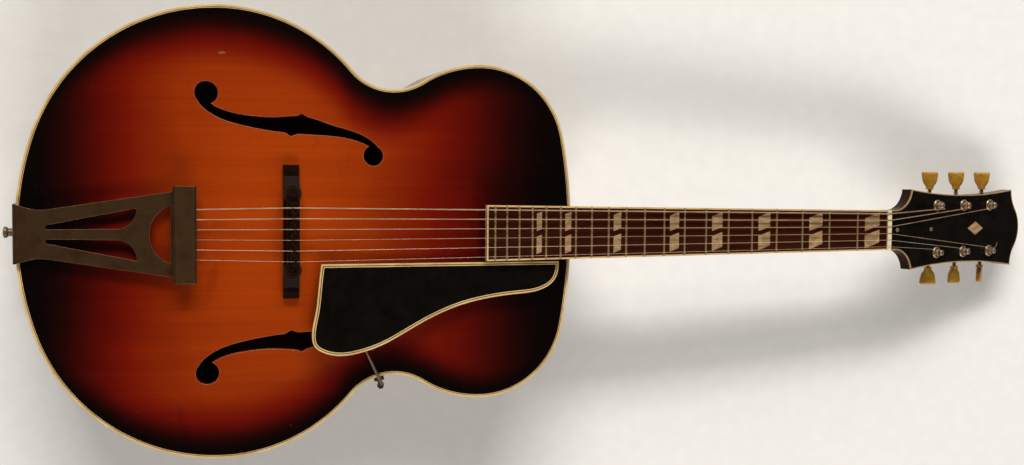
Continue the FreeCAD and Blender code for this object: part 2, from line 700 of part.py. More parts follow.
def neck_shape():
    """The neck as one piece of wood."""
    body_x = -fret_distance(BODY_FRET)
    head_x = size("nut_thickness") + size("neck_depth")
    depth = size("neck_depth")
    shaft = Part.makeLoft(
        [rounded_section(body_x - 2, board_half_width(body_x) - seat, depth + size("neck_depth_gain")),
         rounded_section(0, board_half_width(0) - seat, depth),
         rounded_section(head_x, board_half_width(0) - seat, depth)], True, True)
    shaft = moved(shaft, neck_frame)
    block = head_face.extrude(Vector(0, 0, -size("head_thickness") + size("veneer_thickness")))
    block = moved(block, head_frame.multiply(Placement(Vector(0, 0, -size("veneer_thickness")), Rotation())))
    over_head = Part.makeBox(REACH, REACH, REACH, Vector(0, -REACH / 2, -size("veneer_thickness")))
    shaft = shaft.cut(moved(over_head, head_frame))
    top = size("board_height") - size("board_thickness")
    foot = -size("rim_depth") + size("heel_cap_thickness")
    half = board_half_width(body_x)
    low_half = size("heel_width") / 2
    drop = top - foot
    heel = Part.makeLoft(
        [heel_section(top - 1.5, half - 1.0, 4.6 * size("heel_length")),
         heel_section(top - 0.14 * drop, half * 0.86, 3.5 * size("heel_length")),
         heel_section(top - 0.30 * drop, half * 0.72, 2.3 * size("heel_length")),
         heel_section(top - 0.55 * drop, (half * 0.6 + low_half) / 2, 1.45 * size("heel_length")),
         heel_section(top - 0.80 * drop, low_half * 1.03, 1.1 * size("heel_length")),
         heel_section(foot, low_half, size("heel_length"))], True, False)
    riser = Part.makeBox(
        board_length + body_x - 4, size("riser_width"), 3 * size("board_height"),
        Vector(-board_length + 3, -size("riser_width") / 2,
               -size("board_thickness") - 3 * size("board_height")))
    riser = moved(riser, neck_frame).cut(under_top)
    solid = shaft.fuse([block, heel])
    solid = solid.cut(outline_prism(-seat, -2 * size("rim_depth"), clear))
    tenon = Part.makeBox(
        size("tenon_length") + 2 * size("side_thickness"), size("tenon_width"), size("tenon_depth"),
        Vector(size("body_length") - size("side_thickness") - size("tenon_length"), -size("tenon_width") / 2,
               -size("top_thickness") - size("tenon_depth") - clear))
    solid = solid.fuse([tenon, riser])
    over_board = Part.makeBox(board_length + size("nut_thickness") + REACH, REACH, REACH,
                              Vector(-board_length - REACH, -REACH / 2, -size("board_thickness")))
    groove_width = 2 * size("truss_rod_radius") + 2 * clear
    groove = Part.makeBox(
        size("truss_rod_length") + clear, groove_width, size("truss_rod_depth") + groove_width / 2 + clear,
        Vector(size("truss_reach") - size("truss_rod_length") - clear, -groove_width / 2,
               -size("board_thickness") - size("truss_rod_depth") - groove_width / 2))
    pocket_width = 2 * size("truss_nut_radius") + 2 * clear
    pocket = Part.makeBox(
        size("truss_reach") + 4 * clear, pocket_width, size("head_thickness") * 0.85,
        Vector(2, -pocket_width / 2, -size("head_thickness") * 0.85))
    posts = [Part.makeCylinder(size("bushing_radius") + seat, 2 * REACH, centre - Vector(0, 0, REACH))
             for centre in TUNERS.values()]
    tools = [moved(cutter, neck_frame) for cutter in (over_board, groove)]
    tools += [moved(cutter, head_frame) for cutter in [pocket] + posts]
    return solid.cut(tools + screw_holes).removeSplitter()


keep(shaped("neck", neck_shape()), "neck", body_place)
heel_foot = Part.Face(heel_section(-size("rim_depth"), size("heel_width") / 2, size("heel_length")))
cap_shape = heel_foot.extrude(Vector(0, 0, size("heel_cap_thickness")))
cap_shape = cap_shape.cut(outline_prism(-seat, -2 * size("rim_depth"), clear))
keep(shaped("heel_cap", cap_shape), "heel_cap", body_place)

# Truss rod with its nut, let into the neck under the fretboard
rod_bar = rod("rod_bar", "truss_reach - truss_rod_length", "0", "-board_thickness - truss_rod_depth",
              "truss_rod_radius", "truss_rod_length", along_x)
rod_nut = bound("Part::Prism", "rod_nut", Circumradius="truss_nut_radius", Height="truss_nut_length")
rod_nut.Polygon = 6
placed(rod_nut, "truss_reach - truss_nut_length - 1", "0", "-board_thickness - truss_rod_depth", along_x)
bored_nut = cut("bored_nut", rod_nut, [
    rod("nut_bore", "truss_reach - truss_nut_length - 2", "0", "-board_thickness - truss_rod_depth",
        "truss_rod_radius + seat", "truss_nut_length + 3", along_x)])
truss_rod = doc.addObject("Part::Compound", "truss_rod")
truss_rod.Links = [rod_bar, bored_nut]
keep(truss_rod, "truss_rod", neck_place)

# Headstock face, its edge strip and the truss rod cover
post_holes = [Part.makeCylinder(size("bushing_radius") + seat, REACH, centre - Vector(0, 0, REACH / 2))
              for centre in TUNERS.values()]
head_screw_holes = [moved(hole, head_frame.inverse()) for hole in screw_holes]
rod_window = Part.makeBox(size("truss_reach") + 4 * clear, 2 * size("truss_nut_radius") + 2 * clear, REACH,
                          Vector(2, -size("truss_nut_radius") - clear, -REACH / 2))


def lozenge(thickness):
    """A plain diamond inlay for the headstock."""
    long = size("lozenge_length") / 2
    wide = size("lozenge_width") / 2
    middle = size("lozenge_at")
    corners = [Vector(middle - long, 0, 0), Vector(middle, wide, 0), Vector(middle + long, 0, 0),
               Vector(middle, -wide, 0), Vector(middle - long, 0, 0)]
    return Part.Face(Part.makePolygon(corners)).extrude(Vector(0, 0, -thickness))


to_neck = neck_frame.inverse().multiply(head_frame)
nut_room = Part.makeBox(size("nut_thickness") + REACH, REACH, REACH, Vector(-REACH, -REACH / 2, -REACH / 2))
nut_room = moved(nut_room, to_neck.inverse())
veneer = inner_head_face.extrude(Vector(0, 0, -size("veneer_thickness")))
veneer = veneer.cut(post_holes + [nut_room, rod_window, lozenge(size("veneer_thickness"))] + head_screw_holes)
keep(shaped("headstock_veneer", veneer), "headstock_veneer", head_place)
edge = head_face.cut(inner_head_face).extrude(Vector(0, 0, -size("veneer_thickness")))
keep(shaped("headstock_binding", edge.cut(nut_room)), "headstock_binding", head_place)


def cover_shape():
    """A bell-shaped cover plate over the end of the truss rod."""
    start = clear + 1.5
    end = start + size("cover_length")
    half = size("cover_width") / 2
    edges = []
    for side in (1, -1):
        bell = Part.BSplineCurve()
        bell.interpolate([Vector(start + 4, side * half, 0),
                          Vector(start + 0.3 * size("cover_length"), side * half * 0.72, 0),
                          Vector(start + 0.62 * size("cover_length"), side * half * 0.42, 0),
                          Vector(end, 0, 0)], FinalTangent=Vector(0, -side, 0))
        edges.append(bell.toShape())
        edges.append(Part.LineSegment(Vector(start, side * half, 0),
                                      Vector(start + 4, side * half, 0)).toShape())
    edges.append(Part.LineSegment(Vector(start, -half, 0), Vector(start, half, 0)).toShape())
    face = Part.Face(Part.Wire(Part.__sortEdges__(edges)))
    return face.extrude(Vector(0, 0, size("cover_thickness"))).cut(head_screw_holes)


keep(shaped("truss_rod_cover", cover_shape()), "truss_rod_cover", head_place)

# Fretboard with pearl markers, edge binding, frets and nut
inlays = []
for fret in MARKED_FRETS:
    space = fret_distance(fret) - fret_distance(fret - 1)
    middle = -(fret_distance(fret) + fret_distance(fret - 1)) / 2
    length = size("inlay_share") * space - size("inlay_trim")
    tall = size("inlay_height_share") * 2 * board_half_width(middle)
    slant = size("inlay_slant") * length
    gap = size("inlay_gap_share") * tall
    for low in (gap / 2, -gap / 2 - tall):
        corners = [Vector(middle - length / 2, low - slant / 2, 0),
                   Vector(middle + length / 2, low + slant / 2, 0),
                   Vector(middle + length / 2, low + slant / 2 + tall, 0),
                   Vector(middle - length / 2, low - slant / 2 + tall, 0)]
        face = Part.Face(Part.makePolygon(corners + corners[:1]))
        inlays.append(face.extrude(Vector(0, 0, -size("inlay_thickness"))))
inlay_tools = shaped("inlay_tools", Part.makeCompound(inlays))
head_mark = moved(lozenge(size("veneer_thickness")), to_neck)
keep(shaped("pearl_inlays", Part.makeCompound(inlays + [head_mark])), "pearl_inlays", neck_place)


def board_polygon(edge_inset, end_inset):
    """The fretboard's outline in the neck frame, drawn in from its edges and its end."""
    start = -board_length + end_inset
    corners = []
    for x, side in ((start, -1), (0, -1), (0, 1), (start, 1)):
        corners.append(Vector(x, side * (board_half_width(x) - edge_inset), -size("board_thickness")))
    return Part.Face(Part.makePolygon(corners + corners[:1]))


board_middle = board_polygon(size("board_binding"), size("board_binding"))
board_blank = extruded("board_blank", board_middle, "board_thickness")
keep(cut("fretboard", board_blank, [inlay_tools]), "fretboard", neck_place)
board_edge = board_polygon(0, 0).cut(board_middle)
keep(extruded("fretboard_binding", board_edge, "board_thickness"), "fretboard_binding", neck_place)

fret_bars = []
for fret in range(1, FRETS + 1):
    x = -fret_distance(fret)
    wide = size("fret_width") / 2
    tall = size("fret_height")
    half = board_half_width(x) - size("board_binding") / 2
    section = [(-wide, 0), (-wide, tall * 0.3), (-wide * 0.45, tall), (wide * 0.45, tall), (wide, tall * 0.3),
               (wide, 0)]
    corners = [Vector(x + along, -half, up) for along, up in section]
    face = Part.Face(Part.makePolygon(corners + corners[:1]))
    fret_bars.append(face.extrude(Vector(0, 2 * half, 0)))
keep(shaped("frets", Part.makeCompound(fret_bars)), "frets", neck_place)


# Strings, from the tailpiece bar over saddle and nut to the windings on their posts
def string_offset(number, spread):
    """Sideways place of a string, bass string on the bass side."""
    return size(spread) * ((number - 1) / 5 - 0.5)


def string_runs(number):
    """Bar, saddle, nut and post points of a string in the body frame, with its winding."""
    radius = GAUGES[number] / 2
    anchor = Vector(size("bar_at") + size("bar_width") - 6, string_offset(number, "spread_at_bar"),
                    size("bar_middle"))
    crest = Vector(size("bridge_at") + saddle_step(number), string_offset(number, "spread_at_saddle"),
                   size("crest_height") + radius)
    rest = neck_frame.multVec(Vector(size("nut_thickness") / 2, string_offset(number, "spread_at_nut"),
                                     size("nut_rest") + radius))
    centre = TUNERS[number]
    way = 1 if number > 3 else -1
    reach = size("post_radius") + radius + running
    start = head_frame.inverse().multVec(rest)
    gap = Vector(start.x - centre.x, start.y - centre.y, 0)
    facing = math.atan2(gap.y, gap.x)
    angle = facing + way * math.acos(reach / gap.Length)
    rise = GAUGES[number] + size("winding_gap")

    def on_post(turn):
        spin = angle + way * 2 * math.pi * turn
        place = Vector(centre.x + reach * math.cos(spin), centre.y + reach * math.sin(spin),
                       size("winding_start") + radius + rise * turn)
        slope = rise / (2 * math.pi * reach)
        heading = Vector(-way * math.sin(spin), way * math.cos(spin), slope).normalize()
        return place, heading

    return anchor, crest, rest, on_post, rise


def saddle_step(number):
    """How far a string's crest stands ahead of the saddle's middle."""
    return {1: 1.6, 2: 0.6, 3: -1.2, 4: 1.0, 5: 0.0, 6: -1.2}[number]


def string_shape(number):
    """One unbroken string with its winding."""
    radius = GAUGES[number] / 2
    anchor, crest, rest, on_post, rise = string_runs(number)
    first, heading = on_post(0)
    landing = head_frame.multVec(first)
    edges = rounded_path([anchor, crest, rest, landing], [size("string_bend_radius")] * 2)
    leave = (landing - rest).normalize()
    steps = int(size("winding_turns") * 4)
    place = landing
    turning = head_frame.Rotation
    for quarter in range(1, steps + 1):
        point, heading = on_post(quarter / 4)
        point = head_frame.multVec(point)
        heading = turning.multVec(heading)
        edges += biarc(place, leave, point, heading)
        place = point
        leave = heading
    edges.append(Part.LineSegment(place, place + leave * (2 * GAUGES[number] + 1.0)).toShape())
    made = tube(edges, radius)
    length = sum(edge.Length for edge in edges)
    share = made.Volume / (math.pi * radius ** 2 * length)
    print("string_%d radius %.3f mm, length %.1f mm, volume share %.4f, least gap to itself %.3f mm" % (
        number, radius, length, share, winding_room(edges[-2 * steps - 1:], steps) - GAUGES[number]))
    return made


def winding_room(edges, quarters):
    """Least distance between points of a winding that lie half a turn or more apart along it."""
    points = []
    for edge in edges:
        points += edge.discretize(9)[:-1]
    half_turn = len(points) * 2 // quarters
    return min(one.distanceToPoint(other)
               for i, one in enumerate(points) for other in points[i + half_turn:])


for number in GAUGES:
    keep(shaped("string_%d" % number, string_shape(number)), "string_%d" % number, body_place)

# Nut with a slot for each string
nut_blank = padded("nut_blank", "YZ_Plane", [
    ("-nut_width / 2", "-board_thickness"), ("nut_width / 2", "-board_thickness"),
    ("nut_width / 2", "nut_height - board_thickness - 0.6"),
    ("nut_width / 4", "nut_height - board_thickness"), ("-nut_width / 4", "nut_height - board_thickness"),
    ("-nut_width / 2", "nut_height - board_thickness - 0.6")],
    "nut_thickness")
slots = [moved(nodes["string_%d" % number][0].Shape, neck_frame.inverse()) for number in GAUGES]
slot_cutters = []
for number, gauge in GAUGES.items():
    centre = string_offset(number, "spread_at_nut")
    radius = gauge / 2 + 2 * running
    for tilt, x in ((0, -1.0), (size("head_tilt"), size("nut_thickness") / 2 - 0.5)):
        way = Rotation(Vector(0, 1, 0), 90 + tilt).multVec(Vector(0, 0, 1))
        start = Vector(x, centre, size("nut_rest") + gauge / 2)
        slot_cutters.append(Part.makeCylinder(radius, 2 * size("nut_thickness"), start, way))
        low = Vector(x, centre - radius, size("nut_rest") + gauge / 2)
        slab = Part.makeBox(2 * size("nut_thickness"), 2 * radius, 2 * size("nut_height"))
        slab.Placement = Placement(low, Rotation(Vector(0, 1, 0), tilt))
        slot_cutters.append(slab)
nut_tools = shaped("nut_tools", Part.makeCompound(slots).fuse(slot_cutters))
keep(cut("nut", nut_blank, [nut_tools]), "nut", neck_place)

# Bridge: base fitted to the top, two threaded posts, two thumbwheels and a stepped saddle
base_blank = padded("base_blank", "YZ_Plane", [
    ("bridge_shift - base_length / 2", "0"), ("bridge_shift + base_length / 2", "0"),
    ("bridge_shift + base_length / 2", "top_arch + base_end_height"),
    ("bridge_shift + scoop_end", "top_arch + base_end_height"),
    ("bridge_shift + scoop_start", "top_arch + base_height"),
    ("bridge_shift - scoop_start", "top_arch + base_height"),
    ("bridge_shift - scoop_end", "top_arch + base_end_height"),
    ("bridge_shift - base_length / 2", "top_arch + base_end_height")], "base_width")
placed(base_blank, "bridge_at - base_width / 2")
top_tool = shaped("top_tool", top_surface(-seat).extrude(Vector(0, 0, -REACH)))
base_holes = []
posts = []
for name, sign in (("bass", "+"), ("treble", "-")):
    across = "bridge_shift %s bridge_post_spread / 2" % sign
    base_holes.append(rod(name + "_base_hole", "bridge_at", across, "top_arch", "bridge_post_radius + seat",
                          "base_height * 2"))
    posts.append(rod(name + "_bridge_post", "bridge_at", across, "top_arch + seat", "bridge_post_radius",
                     "base_height + wheel_gap + wheel_thickness + saddle_body_height - 1"))
keep(cut("bridge_base", base_blank, [top_tool] + base_holes), "bridge_base", body_place)
post_pair = doc.addObject("Part::Compound", "bridge_posts")
post_pair.Links = posts
keep(post_pair, "bridge_posts", body_place)

WHEEL_NOTCHES = 24
for name, sign in (("bass", "+"), ("treble", "-")):
    across = "bridge_shift %s bridge_post_spread / 2" % sign
    level = "top_arch + base_height + wheel_gap"
    disc = rod(name + "_disc", "bridge_at", across, level, "wheel_radius", "wheel_thickness")
    bore = rod(name + "_wheel_bore", "bridge_at", across, level + " - 1", "bridge_post_radius + running",
               "wheel_thickness + 2")
    middle = Vector(size("bridge_at"), value(across), value(level) - 1)
    notches = []
    for i in range(WHEEL_NOTCHES):
        spin = 2 * math.pi * i / WHEEL_NOTCHES
        spot = middle + Vector(math.cos(spin), math.sin(spin), 0) * (size("wheel_radius") + 0.35)
        notches.append(Part.makeCylinder(0.8, size("wheel_thickness") + 2, spot))
    knurl = shaped(name + "_knurl", Part.makeCompound(notches))
    keep(cut("thumbwheel_" + name, disc, [bore, knurl]), "thumbwheel_" + name, body_place)

saddle_low = "top_arch + base_height + wheel_gap + wheel_thickness + running"
saddle_pieces = [box("saddle_bar", "bridge_at - saddle_width / 2", "bridge_shift - bridge_post_spread / 2",
                     saddle_low, "saddle_width", "bridge_post_spread", "saddle_body_height")]
saddle_holes = []
for name, sign in (("bass", "+"), ("treble", "-")):
    across = "bridge_shift %s bridge_post_spread / 2" % sign
    saddle_pieces.append(rod(name + "_saddle_end", "bridge_at", across, saddle_low, "saddle_width / 2",
                             "saddle_body_height"))
    saddle_holes.append(rod(name + "_saddle_hole", "bridge_at", across, saddle_low + " - 1",
                            "bridge_post_radius + clearance", "saddle_body_height + 2"))
saddle_pieces.append(padded("saddle_ridge", "XZ_Plane", [
    ("-saddle_width / 2 + 0.8", saddle_low + " + saddle_body_height - 0.5"),
    ("saddle_width / 2 - 0.8", saddle_low + " + saddle_body_height - 0.5"),
    ("saddle_ridge_width / 2", "crest_height - 1"), ("-saddle_ridge_width / 2", "crest_height - 1")],
    "spread_at_saddle + 9"))
placed(saddle_pieces[-1], "bridge_at", "spread_at_saddle / 2 + 4.5")
for number in GAUGES:
    step = (size("spread_at_saddle") / 5) - 0.6
    low = Vector(size("bridge_at") + saddle_step(number) - 0.9,
                 string_offset(number, "spread_at_saddle") - step / 2, size("crest_height") - 1.5)
    saddle_pieces.append(shaped("saddle_step_%d" % number, Part.makeBox(1.8, step, 2.3, low)))
saddle_blank = fuse("saddle_blank", saddle_pieces)
saddle_slots = []
for number, gauge in GAUGES.items():
    anchor, crest, rest, on_post, rise = string_runs(number)
    for target in (anchor, rest):
        way = (target - crest).normalize()
        slot = Part.makeCylinder(gauge / 2 + running, 12, crest - way * 2, way)
        lift = Part.makeCylinder(gauge / 2 + running, 12, crest - way * 2 + Vector(0, 0, gauge), way)
        saddle_slots += [slot, lift]
saddle_tool = shaped("saddle_tool", saddle_slots[0].fuse(saddle_slots[1:]))
keep(cut("bridge_saddle", saddle_blank, saddle_holes + [saddle_tool]), "bridge_saddle", body_place)


# Tailpiece: a bent plate with cut-outs, hooked over the tail, that carries the string bar
def tailpiece_shape():
    """The bent and pierced plate."""
    thick = size("plate_thickness")
    bend = size("tail_bend_radius")
    rise = size("tail_bend_height")
    far_x = size("bar_at") + size("bar_width") / 2
    far_z = size("bar_middle") - size("bar_thickness") / 2 - thick
    foot = Vector(-thick, 0, -size("tail_leg_length"))
    corner = Vector(-thick, 0, rise + thick)
    end = Vector(far_x, 0, far_z + thick)
    outer = rounded_path([foot, corner, end], [bend])
    slope = (end - corner).normalize()
    normal = Vector(-slope.z, 0, slope.x)
    inner_corner = Vector(0, 0, corner.z + (thick * slope.z - thick) / slope.x)
    inner = rounded_path([foot + Vector(thick, 0, 0), inner_corner, end - normal * thick], [bend - thick])
    ends = [Part.LineSegment(foot, foot + Vector(thick, 0, 0)).toShape(),
            Part.LineSegment(end, end - normal * thick).toShape()]
    profile = Part.Face(Part.Wire(Part.__sortEdges__(outer + inner + ends)))
    half = size("bar_length")
    sheet_solid = moved(profile.extrude(Vector(0, 2 * half, 0)), Placement(Vector(0, -half, 0), Rotation()))
    low = -2 * size("tail_leg_length")
    end_half = size("tail_end_width") / 2
    neck_half = size("tail_neck_width") / 2
    bar_half = size("plate_bar_width") / 2
    edges = []
    for side in (1, -1):
        def at(x, y):
            return Vector(x, side * y, low)
        throat = at(size("bar_at") * size("tail_neck_share"), neck_half)
        edges += rounded_path([at(0, end_half), throat, at(far_x, bar_half)], [size("tail_throat_radius")])
        edges.append(Part.LineSegment(at(-2 * thick, end_half), at(0, end_half)).toShape())
    for x, y in ((-2 * thick, end_half), (far_x, bar_half)):
        edges.append(Part.LineSegment(Vector(x, -y, low), Vector(x, y, low)).toShape())
    plan = Part.Face(Part.Wire(Part.__sortEdges__(edges))).extrude(Vector(0, 0, 2 * REACH))
    plate = sheet_solid.common(plan)
    leg_round = Part.makeCylinder(
        end_half, 4 * thick, Vector(-3 * thick, 0, -size("tail_leg_length") + end_half), Vector(1, 0, 0))
    leg_block = Part.makeBox(4 * thick, 2 * end_half, size("tail_leg_length"),
                             Vector(-3 * thick, -end_half, -size("tail_leg_length") + end_half))
    beyond = Part.makeBox(far_x + thick, 2 * half, 2 * size("tail_leg_length"), Vector(thick, -half, low / 2))
    plate = plate.common(leg_round.fuse([leg_block, beyond]))
    tools = [Part.makeCylinder(size("endpin_peg_radius") + running, 8 * thick,
                               Vector(-4 * thick, 0, -size("endpin_depth")), Vector(1, 0, 0))]

    def drawn(along, across):
        return Vector(along * size("bar_at"), across * bar_half, low)

    def opening(edges):
        return Part.Face(Part.Wire(Part.__sortEdges__(edges))).extrude(Vector(0, 0, 2 * REACH))

    for side in (1, -1):
        nose = [drawn(0.2085, 0.110 * side), drawn(0.1943, 0.160 * side), drawn(0.2085, 0.210 * side)]
        curve = [drawn(0.773, 0.592 * side), drawn(0.735, 0.270 * side), drawn(0.665, 0.124 * side)]
        tools.append(opening([
            Part.Arc(*nose).toShape(), Part.LineSegment(nose[2], curve[0]).toShape(),
            Part.Arc(*curve).toShape(), Part.LineSegment(curve[2], nose[0]).toShape()]))
    mouth = [drawn(0.9858, 0.6618), drawn(0.8511, 0), drawn(0.9858, -0.6618)]
    tools.append(opening([Part.Arc(*mouth).toShape(), Part.LineSegment(mouth[2], mouth[0]).toShape()]))
    return plate.cut(tools + screw_holes)


keep(shaped("tailpiece", tailpiece_shape()), "tailpiece", body_place)

bar_blank = padded("bar_blank", "XZ_Plane", [
    ("0", "-bar_thickness / 2"), ("bar_width", "-bar_thickness / 2"), ("bar_width", "bar_thickness / 2 - 2"),
    ("bar_width - 2.5", "bar_thickness / 2"), ("2.5", "bar_thickness / 2"), ("0", "bar_thickness / 2 - 2")],
    "bar_length")
placed(bar_blank, "bar_at", "bar_length / 2", "bar_middle")
string_holes = []
for number, gauge in GAUGES.items():
    anchor, crest = string_runs(number)[:2]
    way = (crest - anchor).normalize()
    string_holes.append(Part.makeCylinder(gauge / 2 + running, size("bar_width"), anchor - way * clear, way))
bar_tool = shaped("bar_tool", Part.makeCompound(string_holes))
keep(cut("tailpiece_bar", bar_blank, [bar_tool, shaped("bar_plate_tool", nodes["tailpiece"][0].Shape)]),
     "tailpiece_bar", body_place)

endpin = turned("endpin", [
    ("0", "-endpin_peg_length"), ("endpin_peg_radius * 0.9", "-endpin_peg_length"), ("endpin_peg_radius", "0"),
    ("endpin_radius", "0"), ("endpin_radius", "2"), ("endpin_radius * 0.62", "3.5"),
    ("endpin_radius * 0.62", "endpin_reach - 5"), ("endpin_radius * 0.9", "endpin_reach - 3.5"),
    ("endpin_radius * 0.9", "endpin_reach - 1"), ("endpin_radius * 0.5", "endpin_reach"),
    ("0", "endpin_reach")])
endpin_root = Vector(-size("plate_thickness"), 0, -size("endpin_depth"))
endpin_local = Placement(endpin_root, Rotation(Vector(0, 1, 0), -90))
keep(endpin, "endpin", body_place.multiply(endpin_local))


# Pickguard beside the fretboard, held level with a bracket at the waist
guard_side = -board_half_width(-board_length) - size("guard_board_gap")
guard_start = -nut_x + size("bridge_at") + size("guard_bridge_gap")


def guard_edge(inset):
    """The pickguard's curved edge in the neck frame, drawn inwards by an inset."""
    corners = [(240.2, 0), (240.0, 7.5), (236, 18.5), (222, 28.0), (194, 32.2), (166, 35.6), (139, 41.6),
               (111, 52.3), (84.6, 66.0), (61, 78.3), (42, 84.8), (21.4, 88.2), (3.3, 85.2), (-7, 77.7),
               (-9, 67.4), (-5.6, 47), (-2.4, 20), (0, 0)]
    edge = Part.BSplineCurve()
    edge.interpolate([Vector(guard_start + x, guard_side - y, 0) for x, y in corners])
    if not inset:
        return edge
    points = []
    steps = 4 * len(corners)
    for i in range(steps + 1):
        spot = edge.FirstParameter + (edge.LastParameter - edge.FirstParameter) * i / steps
        way = edge.tangent(spot)[0]
        points.append(edge.value(spot) + Vector(way.y, -way.x, 0) * inset)
    points[0].y = guard_side - inset
    points[-1].y = guard_side - inset
    drawn = Part.BSplineCurve()
    drawn.interpolate(points)
    return drawn


guard_outer = guard_edge(0)
guard_inner = guard_edge(size("guard_edge"))


def guard_sheet(edge):
    """The flat sheet inside a curved edge and the straight side beside the fretboard."""
    side = Part.LineSegment(edge.StartPoint, edge.EndPoint).toShape()
    face = Part.Face(Part.Wire(Part.__sortEdges__([edge.toShape(), side])))
    low = Placement(Vector(0, 0, -size("guard_drop") - size("guard_thickness")), Rotation())
    return moved(face, low)


keep(extruded("pickguard", guard_sheet(guard_inner), "guard_thickness"), "pickguard", neck_place)
keep(extruded("pickguard_binding", guard_sheet(guard_outer).cut(guard_sheet(guard_inner)), "guard_thickness"),
     "pickguard_binding", neck_place)


def jointed_rod(points, radius):
    """Straight round rods between points, with a ball at each bend."""
    rods = [Part.makeCylinder(radius, (two - one).Length, one, two - one)
            for one, two in zip(points, points[1:])]
    balls = [Part.makeSphere(1.03 * radius, point) for point in points[1:-1]]
    return rods[0].fuse(rods[1:] + balls)


def bracket_parts():
    """The pickguard's bent support rod with its foot on the rim, and its nut."""
    x = waist_x - size("bracket_at")
    rim = Vector(x, -half_width(x), -size("bracket_depth"))
    slope = half_width(x + clear) - half_width(x - clear)
    away = Vector(-slope, -2 * clear, 0).normalize()
    radius = size("bracket_radius")
    stand = size("bracket_stand")
    pad_thickness = 1.4 * radius
    pad_low = Vector(guard_start + size("pad_along"), guard_side - size("pad_across"),
                     -size("guard_drop") - size("guard_thickness") - pad_thickness)
    pad = moved(Part.makeBox(size("pad_length"), size("pad_width"), pad_thickness, pad_low), neck_frame)
    start = neck_frame.multVec(pad_low + Vector(size("pad_length") / 2, size("pad_width") / 2, -radius * 0.2))
    out = rim + away * stand
    knee = rim - away * (stand / 2) + Vector(-stand / 2, 0, size("bracket_depth") + 6 * radius)
    shoulder = out + Vector(0, 0, size("bracket_depth") - radius)
    arm = jointed_rod([start, knee, shoulder, out - Vector(0, 0, 3 * radius)], radius)
    stud_radius = radius + 2 * clear
    nut_length = size("bracket_nut_length")
    root = rim + away * (seat + size("foot_radius") ** 2 / (2 * min(ARCS[3][1], ARCS[4][1])))
    stud = Part.makeCylinder(stud_radius, stand + radius + 1.5 * nut_length, root, away)
    foot = Part.makeCylinder(size("foot_radius"), stand - radius - 2 * clear, root, away)
    solid = arm.fuse([pad, stud, foot])
    level = Placement(out + away * (radius + seat), Rotation(Vector(0, 0, 1), away))
    corners = [Vector(size("bracket_nut_radius") * math.cos(math.pi * i / 3),
                      size("bracket_nut_radius") * math.sin(math.pi * i / 3), 0) for i in range(7)]
    nut = Part.Face(Part.makePolygon(corners)).extrude(Vector(0, 0, nut_length))
    nut = nut.cut(Part.makeCylinder(stud_radius + seat, 3 * nut_length, Vector(0, 0, -nut_length)))
    return solid, moved(nut, level)


bracket, bracket_nut = bracket_parts()
keep(shaped("pickguard_bracket", bracket), "pickguard_bracket", body_place)
keep(shaped("bracket_nut", bracket_nut), "bracket_nut", body_place)

# Tuners: gear and post, worm and shaft, button, bushing and stamped housing
gear_level = -size("head_thickness") - size("worm_depth")
worm_away = size("gear_pitch_radius") + size("worm_pitch_radius")
worm_pitch = 2 * math.pi * size("gear_pitch_radius") / size("gear_teeth")
gear_tip = size("gear_pitch_radius") + size("tooth_height")
gear_root = size("gear_pitch_radius") - size("tooth_height") - clear
worm_tip = size("worm_pitch_radius") + size("tooth_height")
worm_root = size("worm_pitch_radius") - size("tooth_height") - clear


def gear_face():
    """A straight-toothed gear outline with a gap facing the worm."""
    teeth = int(size("gear_teeth"))
    corners = []
    for tooth in range(teeth):
        middle = 2 * math.pi * (tooth + 0.5) / teeth
        for radius, half in ((gear_root, -0.64), (gear_tip, -0.38), (gear_tip, 0.38), (gear_root, 0.64)):
            spin = middle + half * size("tooth_width") / radius
            corners.append(Vector(radius * math.cos(spin), radius * math.sin(spin), 0))
    return Part.Face(Part.makePolygon(corners + corners[:1]))


def post_shape():
    """A string post with its gear, standing at the origin of the head frame."""
    low = gear_level - size("gear_thickness") / 2
    top = size("post_height")
    radius = size("post_radius")
    stem = Part.makeCylinder(radius, top - low, Vector(0, 0, low))
    rim = [edge for edge in stem.Edges if edge.BoundBox.ZMin > top - 0.01]
    stem = stem.makeChamfer(0.8, rim)
    wheel = gear_face().extrude(Vector(0, 0, size("gear_thickness")))
    wheel = moved(wheel, Placement(Vector(0, 0, low), Rotation()))
    hole = Part.makeCylinder(0.9, 4 * radius, Vector(-2 * radius, 0, top - 1.9), Vector(1, 0, 0))
    return stem.fuse(wheel).cut(hole)


def worm_shape():
    """A worm on its shaft along z, thread centred on the origin."""
    turns = 3
    length = turns * worm_pitch
    helix = Part.makeHelix(worm_pitch, length, worm_root)
    half = size("tooth_width") / 2
    inside_r = worm_root - 0.25
    corners = [Vector(inside_r, 0, -half * 1.3), Vector(worm_tip, 0, -half * 0.75),
               Vector(worm_tip, 0, half * 0.75), Vector(inside_r, 0, half * 1.3)]
    profile = Part.makePolygon(corners + corners[:1])
    thread = Part.Wire(helix.Edges).makePipeShell([profile], True, True)
    thread = moved(thread, Placement(Vector(0, 0, -length / 2), Rotation()))
    inner_end = -gear_tip - clear / 2
    wall = gear_tip + clear
    core = Part.makeCylinder(worm_root, wall - inner_end, Vector(0, 0, inner_end))
    stem_length = size("button_start") + 6 - wall + 0.2
    stem = Part.makeCylinder(size("shaft_radius"), stem_length, Vector(0, 0, wall - 0.2))
    return core.fuse([thread, stem])


